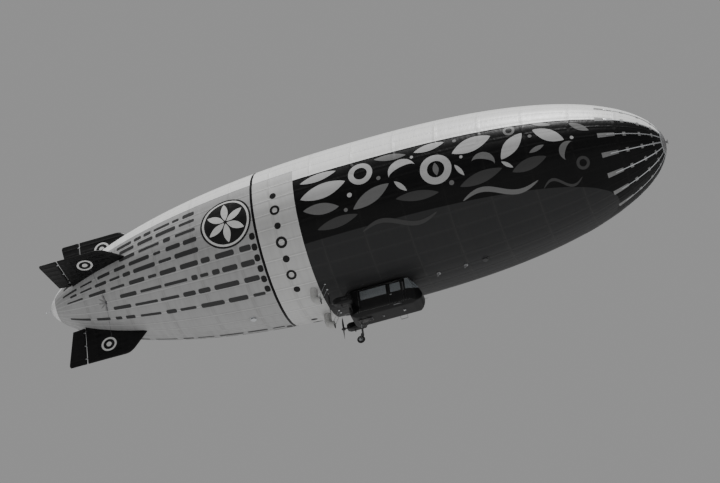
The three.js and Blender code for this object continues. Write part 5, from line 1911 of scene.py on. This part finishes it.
root = BLADE[0][0]
shares = [root + (1 - root) * math.sin(math.pi / 2 * i / BLADE_RINGS) for i in range(BLADE_RINGS + 1)]
for side, sign in SIDES:
    blades = [moved(lofted("blade", [blade_ring(share) for share in shares]), turn=about_x(degrees))
              for degrees in (0, 180)]
    blades = join(f"propeller_{side}_blades", blades)
    smooth(blades, 50)
    paint(blades, black_plastic, tip_paint)
    for face in blades.data.polygons:
        face.material_index = int(abs(face.center.z) > PROPELLER["tip_from"])
    settle(at_pod(blades, sign), f"propeller_{side}", "blade", f"propeller_{side}")

    radius = PROPELLER["hub"]
    hub = [turned("spinner", [(-3.33, 0), (-3.327, 0.018), (-3.318, 0.034), (-3.3, 0.053), (-3.275, 0.07),
                              (-3.245, 0.083), (-3.205, 0.092), (-3.16, radius), (-3.135, radius),
                              (-3.133, 0.09), (-3.129, 0.09), (-3.127, radius), (-3.12, radius),
                              (-3.12, 0)], 64)]
    for y, z in round_section(radius, SPINNER_RIVETS, 0.5):
        hub.append(dome((-3.145, y, z), (0, y, z), 0.006, RIVET_HEIGHT))
    hub = at_pod(join(f"propeller_{side}_spinner", hub), sign)
    complete(hub, spinner_black, f"propeller_{side}", "blade")


# Air scoops: a pale fabric duct hangs behind each propeller and leads its wash up into the ballonets. Alloy
# hoops hold it open, and two struts from the hull carry the mouth.
SCOOP = {"x": -4.08, "mouth_x": -3.7, "top": -4.56, "bend": -5.25, "corner": -5.56, "mouth": -5.6,
         "radius": 0.233, "wall": 0.008, "straight": 0.45, "slack": 0.008}
HOOP_EVERY = 0.2
# share of the duct's length, thickness
HOOPS = ((0.2, 0.006), (0.4, 0.006), (0.6, 0.006), (0.8, 0.006), (0.985, 0.013))
DUCT_RINGS = 50
DUCT_POINTS = 40
STRUT_X = (-3.71, -3.3)
STRUT_Y = (-0.2, 0.2)
duct_cloth = fabric_material("duct_pale", (0.42, 0.42, 0.41), soil=0.5, rough=0.55, gloss=0.2, pucker=1.6)


def scoop_path(share):
    """A place on the duct's middle line and its direction there."""
    straight = SCOOP["straight"]
    if share < straight:
        z = SCOOP["top"] + (SCOOP["bend"] - SCOOP["top"]) * share / straight
        return Vector((SCOOP["x"], 0, z)), Vector((0, 0, -1))
    t = (share - straight) / (1 - straight)
    bend = Vector((SCOOP["x"], 0, SCOOP["bend"]))
    corner = Vector((SCOOP["x"], 0, SCOOP["corner"]))
    mouth = Vector((SCOOP["mouth_x"], 0, SCOOP["mouth"]))
    place = bend * (1 - t) ** 2 + corner * 2 * t * (1 - t) + mouth * t**2
    return place, ((corner - bend) * (1 - t) + (mouth - corner) * t).normalized()


def scoop_ring(share, radius):
    """A section of the duct that sinks and puckers a little between its hoops."""
    place, ahead = scoop_path(share)
    across, up = Vector((0, 1, 0)), Vector((0, 1, 0)).cross(ahead)
    slack = abs(math.sin(math.pi * share / HOOP_EVERY)) * SCOOP["slack"]
    ring_points = []
    for i in range(DUCT_POINTS):
        angle = 2 * math.pi * i / DUCT_POINTS
        folded = radius - slack * (1 + 0.35 * math.cos(9 * angle + 40 * share))
        ring_points.append(place + (across * math.cos(angle) + up * math.sin(angle)) * folded)
    return ring_points


for side, sign in SIDES:
    shares = [i / DUCT_RINGS for i in range(DUCT_RINGS + 1)]
    duct = lofted(f"air_scoop_{side}_duct",
                  [scoop_ring(share, SCOOP["radius"]) for share in shares]
                  + [scoop_ring(share, SCOOP["radius"] - SCOOP["wall"]) for share in reversed(shares)])
    moved(duct, (0, sign * POD["y"], 0))
    complete(duct, duct_cloth, "hull", "duct", f"air_scoop_{side}", angle=60)

    hoops = []
    for share, thick in HOOPS:
        place, ahead = scoop_path(share)
        hoop = wire_ring("hoop", SCOOP["radius"] - 0.002, thick, 56, 10)
        hoops.append(moved(hoop, place, ahead.to_track_quat("Z", "X").to_matrix()))
    low_x, top_x = STRUT_X
    for y in STRUT_Y:
        skin_y = sign * POD["y"] + y
        roof = -math.sqrt(skin_radius(top_x) ** 2 - skin_y**2)
        hoops.append(rod("strut", (low_x, y, -5.49), (top_x, y, roof + 0.02), 0.013, 14))
        hoops.append(rod("foot", (top_x, y, roof - 0.03), (top_x, y, roof + 0.03), 0.06, 28, 0.008))
    hoops = moved(join(f"air_scoop_{side}_hoops", hoops), (0, sign * POD["y"], 0))
    complete(hoops, satin_alloy, "hull", "metal")


# Landing gear: a plate bolted under the floor, a steel leg with a bright sliding tube and two braces, and
# below it a cast fork that swivels on a kingpin and carries one wheel.
LEG_X = -1.75
PLATE_Z = (-6.931, -6.901)
PLATE_BOLTS = 8
AXLE = Vector((-1.9, 0, -8.16))
gear_paint = hard_material("gear_dark_paint", (0.03, 0.03, 0.031), 0.42, dust=0.35, wear=0.9, bare=0.3)
plate_under, plate_over = PLATE_Z
parts = [block("plate", (-1.89, -0.17, plate_under), (-0.99, 0.17, plate_over), 0.006)]
for i in range(PLATE_BOLTS):
    x = -1.86 + i * 0.12
    for y in (-0.15, 0.15):
        parts.append(rod("bolt", (x, y, plate_under), (x, y, plate_under - 0.01), 0.011, 6))
leg = turned("leg", [
    (-7.79, 0.031), (-7.79, 0.057), (-7.787, 0.06), (-7.7, 0.06), (-7.695, 0.056), (-7.52, 0.056),
    (-7.515, 0.06), (-7.4, 0.06), (-7.392, 0.052), (-7.38, 0.05), (-7.38, 0.045), (-7.15, 0.045),
    (-7.15, 0.05), (-7.14, 0.058), (-7.13, 0.06), (-6.99, 0.06), (-6.975, 0.075), (-6.94, 0.1),
    (-6.925, 0.1), (-6.925, 0), (-7.6, 0), (-7.6, 0.031),
], 48, (0, 0, 1))
parts.append(moved(leg, (LEG_X, 0, 0)))
for sign in (-1, 1):
    foot, top = Vector((-1.73, sign * 0.01, -7.46)), Vector((-1.09, sign * 0.11, -6.95))
    parts.append(rod("brace", foot, top, 0.022, 24))
    parts.append(rod("lug", foot.lerp(top, 0.9), top, 0.03, 24, 0.004))
    near, far = outwards(sign, 0.075, 0.145)
    parts.append(block("shoe", (-1.15, near, plate_under - 0.03), (-1.03, far, plate_under + 0.005), 0.006))
complete(join("landing_leg_set", parts), gear_paint, "hull", "metal", "landing_leg")
slider = turned("leg_slider", [(-7.39, 0), (-7.39, 0.05), (-7.14, 0.05), (-7.14, 0)], 48, (0, 0, 1))
moved(slider, (LEG_X, 0, 0))
complete(slider, satin_alloy, "hull", "metal")

dress("caster_fork", "caster_fork_casting", "caster", "metal", gear_paint, 0.005)
nuts = []
for sign in (-1, 1):
    for name, inner, outer, radius, sides, bevel in (
            ("nut", 0.115, 0.13, 0.032, 6, 0.002), ("washer", 0.114, 0.119, 0.04, 28, 0.0)):
        ends = [AXLE + Vector((0, sign * y, 0)) for y in (inner, outer)]
        nuts.append(rod(name, *ends, radius, sides, bevel))
nuts.append(rod("greaser", (LEG_X - 0.075, 0, -7.83), (LEG_X - 0.088, 0, -7.83), 0.006, 10))
complete(join("axle_nuts", nuts), satin_alloy, "caster", "metal")


# Wheel: a cast alloy rim with six holes and bolts, turning on the axle, and a black rubber tyre with grooves
# running round its tread.
RIM_HOLES = 6


def mirrored_outline(points):
    """An outline drawn for one side of a wheel, carried over to the other side."""
    return points + [(-along, out) for along, out in reversed(points)]


rim = turned("wheel_casting", mirrored_outline([
    (0.058, 0.024), (0.058, 0.043), (0.055, 0.046), (0.03, 0.05), (0.021, 0.056), (0.018, 0.066),
    (0.018, 0.1), (0.024, 0.113), (0.04, 0.119), (0.052, 0.121), (0.055, 0.124), (0.055, 0.132),
    (0.052, 0.135), (0.045, 0.134),
]), 64, (0, 1, 0))
for x, z in round_section(0.088, RIM_HOLES):
    cut(rim, rod("hole", (x, -0.1, z), (x, 0.1, z), 0.014, 24))
bolts = [rim]
for x, z in round_section(0.072, RIM_HOLES, 0.5):
    for sign in (-1, 1):
        bolts.append(dome((x, sign * 0.018, z), (0, sign, 0), 0.008, 0.006))
bolts.append(rod("stem", (0, 0.03, 0.112), (0, 0.062, 0.106), 0.004, 10))
rim = moved(join("wheel_casting", bolts), AXLE)
complete(rim, satin_alloy, "wheel", "metal", "wheel_rim")

tread = [(0.037, 0.2365), (0.032, 0.2372), (0.031, 0.231), (0.027, 0.231), (0.026, 0.238), (0.01, 0.2395),
         (0.009, 0.232), (0.005, 0.232), (0.004, 0.24)]
tyre = turned("tyre_rubber", mirrored_outline([
    (0.05, 0.136), (0.056, 0.137), (0.066, 0.148), (0.0715, 0.163), (0.075, 0.185), (0.0735, 0.2),
    (0.069, 0.212), (0.063, 0.219), (0.056, 0.226), (0.047, 0.233), *tread,
]), 80, (0, 1, 0))
moved(tyre, AXLE)
complete(tyre, rubber, "wheel", "tyre", "tyre", angle=40)


# Lamps and antennas: a landing lamp and a beacon under the cabin, in alloy bezels with clear lenses, two
# blade antennas on the belly ahead of it, and a pitot tube at the cabin's nose.
LANDING_LAMP = (0.95, 0, -6.9)
BEACON = (-0.35, 0, -6.9)
ANTENNA_X = (3.3, 5.0)
ANTENNA_HEIGHT = 0.22


def lamp_part(name, place, outline):
    """A round part of a lamp, turned about an upright axis."""
    return moved(turned(name, outline, 40, (0, 0, 1)), place)


def antenna_ring(x, up):
    """A section of a swept blade antenna at a share of its height below the belly."""
    chord, half = 0.2 - 0.1 * up, 0.016 - 0.008 * up
    middle, z = x + 0.09 - 0.12 * up - chord / 2, -skin_radius(x) - ANTENNA_HEIGHT * up + 0.02
    return [(middle + chord / 2 * across, half * side, z) for across, side in round_section(1, 16)]


parts = [
    lamp_part("bezel", LANDING_LAMP, [(0.02, 0.06), (0.02, 0.085), (-0.035, 0.085), (-0.045, 0.08),
                                      (-0.045, 0.07), (-0.01, 0.062), (0.0, 0.0), (0.02, 0.0)]),
    lamp_part("beacon_base", BEACON, [(0.005, 0), (0.005, 0.06), (-0.02, 0.06), (-0.028, 0.054),
                                      (-0.028, 0)]),
]
for x in ANTENNA_X:
    parts.append(lofted("antenna", [antenna_ring(x, up) for up in (0, 0.25, 0.5, 0.75, 1)]))
    belly = -skin_radius(x)
    parts.append(rod("antenna_foot", (x, 0, belly + 0.03), (x, 0, belly - 0.032), 0.13, 36, 0.008))
parts.append(rod("pitot", (2.1, 0.2, -6.35), (2.42, 0.2, -6.35), 0.009, 16, 0.002))
parts.append(rod("pitot_foot", (2.1, 0.2, -6.35), (2.14, 0.2, -6.35), 0.02, 20, 0.004))
complete(join("lamp_and_antenna_fittings", parts), grey_paint, "hull", "metal")
lenses = [
    lamp_part("lens", LANDING_LAMP, [(-0.012, 0), (-0.012, 0.064), (-0.03, 0.066), (-0.04, 0.05),
                                     (-0.044, 0)]),
    lamp_part("dome", BEACON, [(-0.028, 0), (-0.028, 0.046), (-0.06, 0.045), (-0.08, 0.036),
                               (-0.092, 0.018), (-0.095, 0)]),
]
complete(join("lamp_lenses", lenses), clear_glass, "hull", "glass", angle=60)
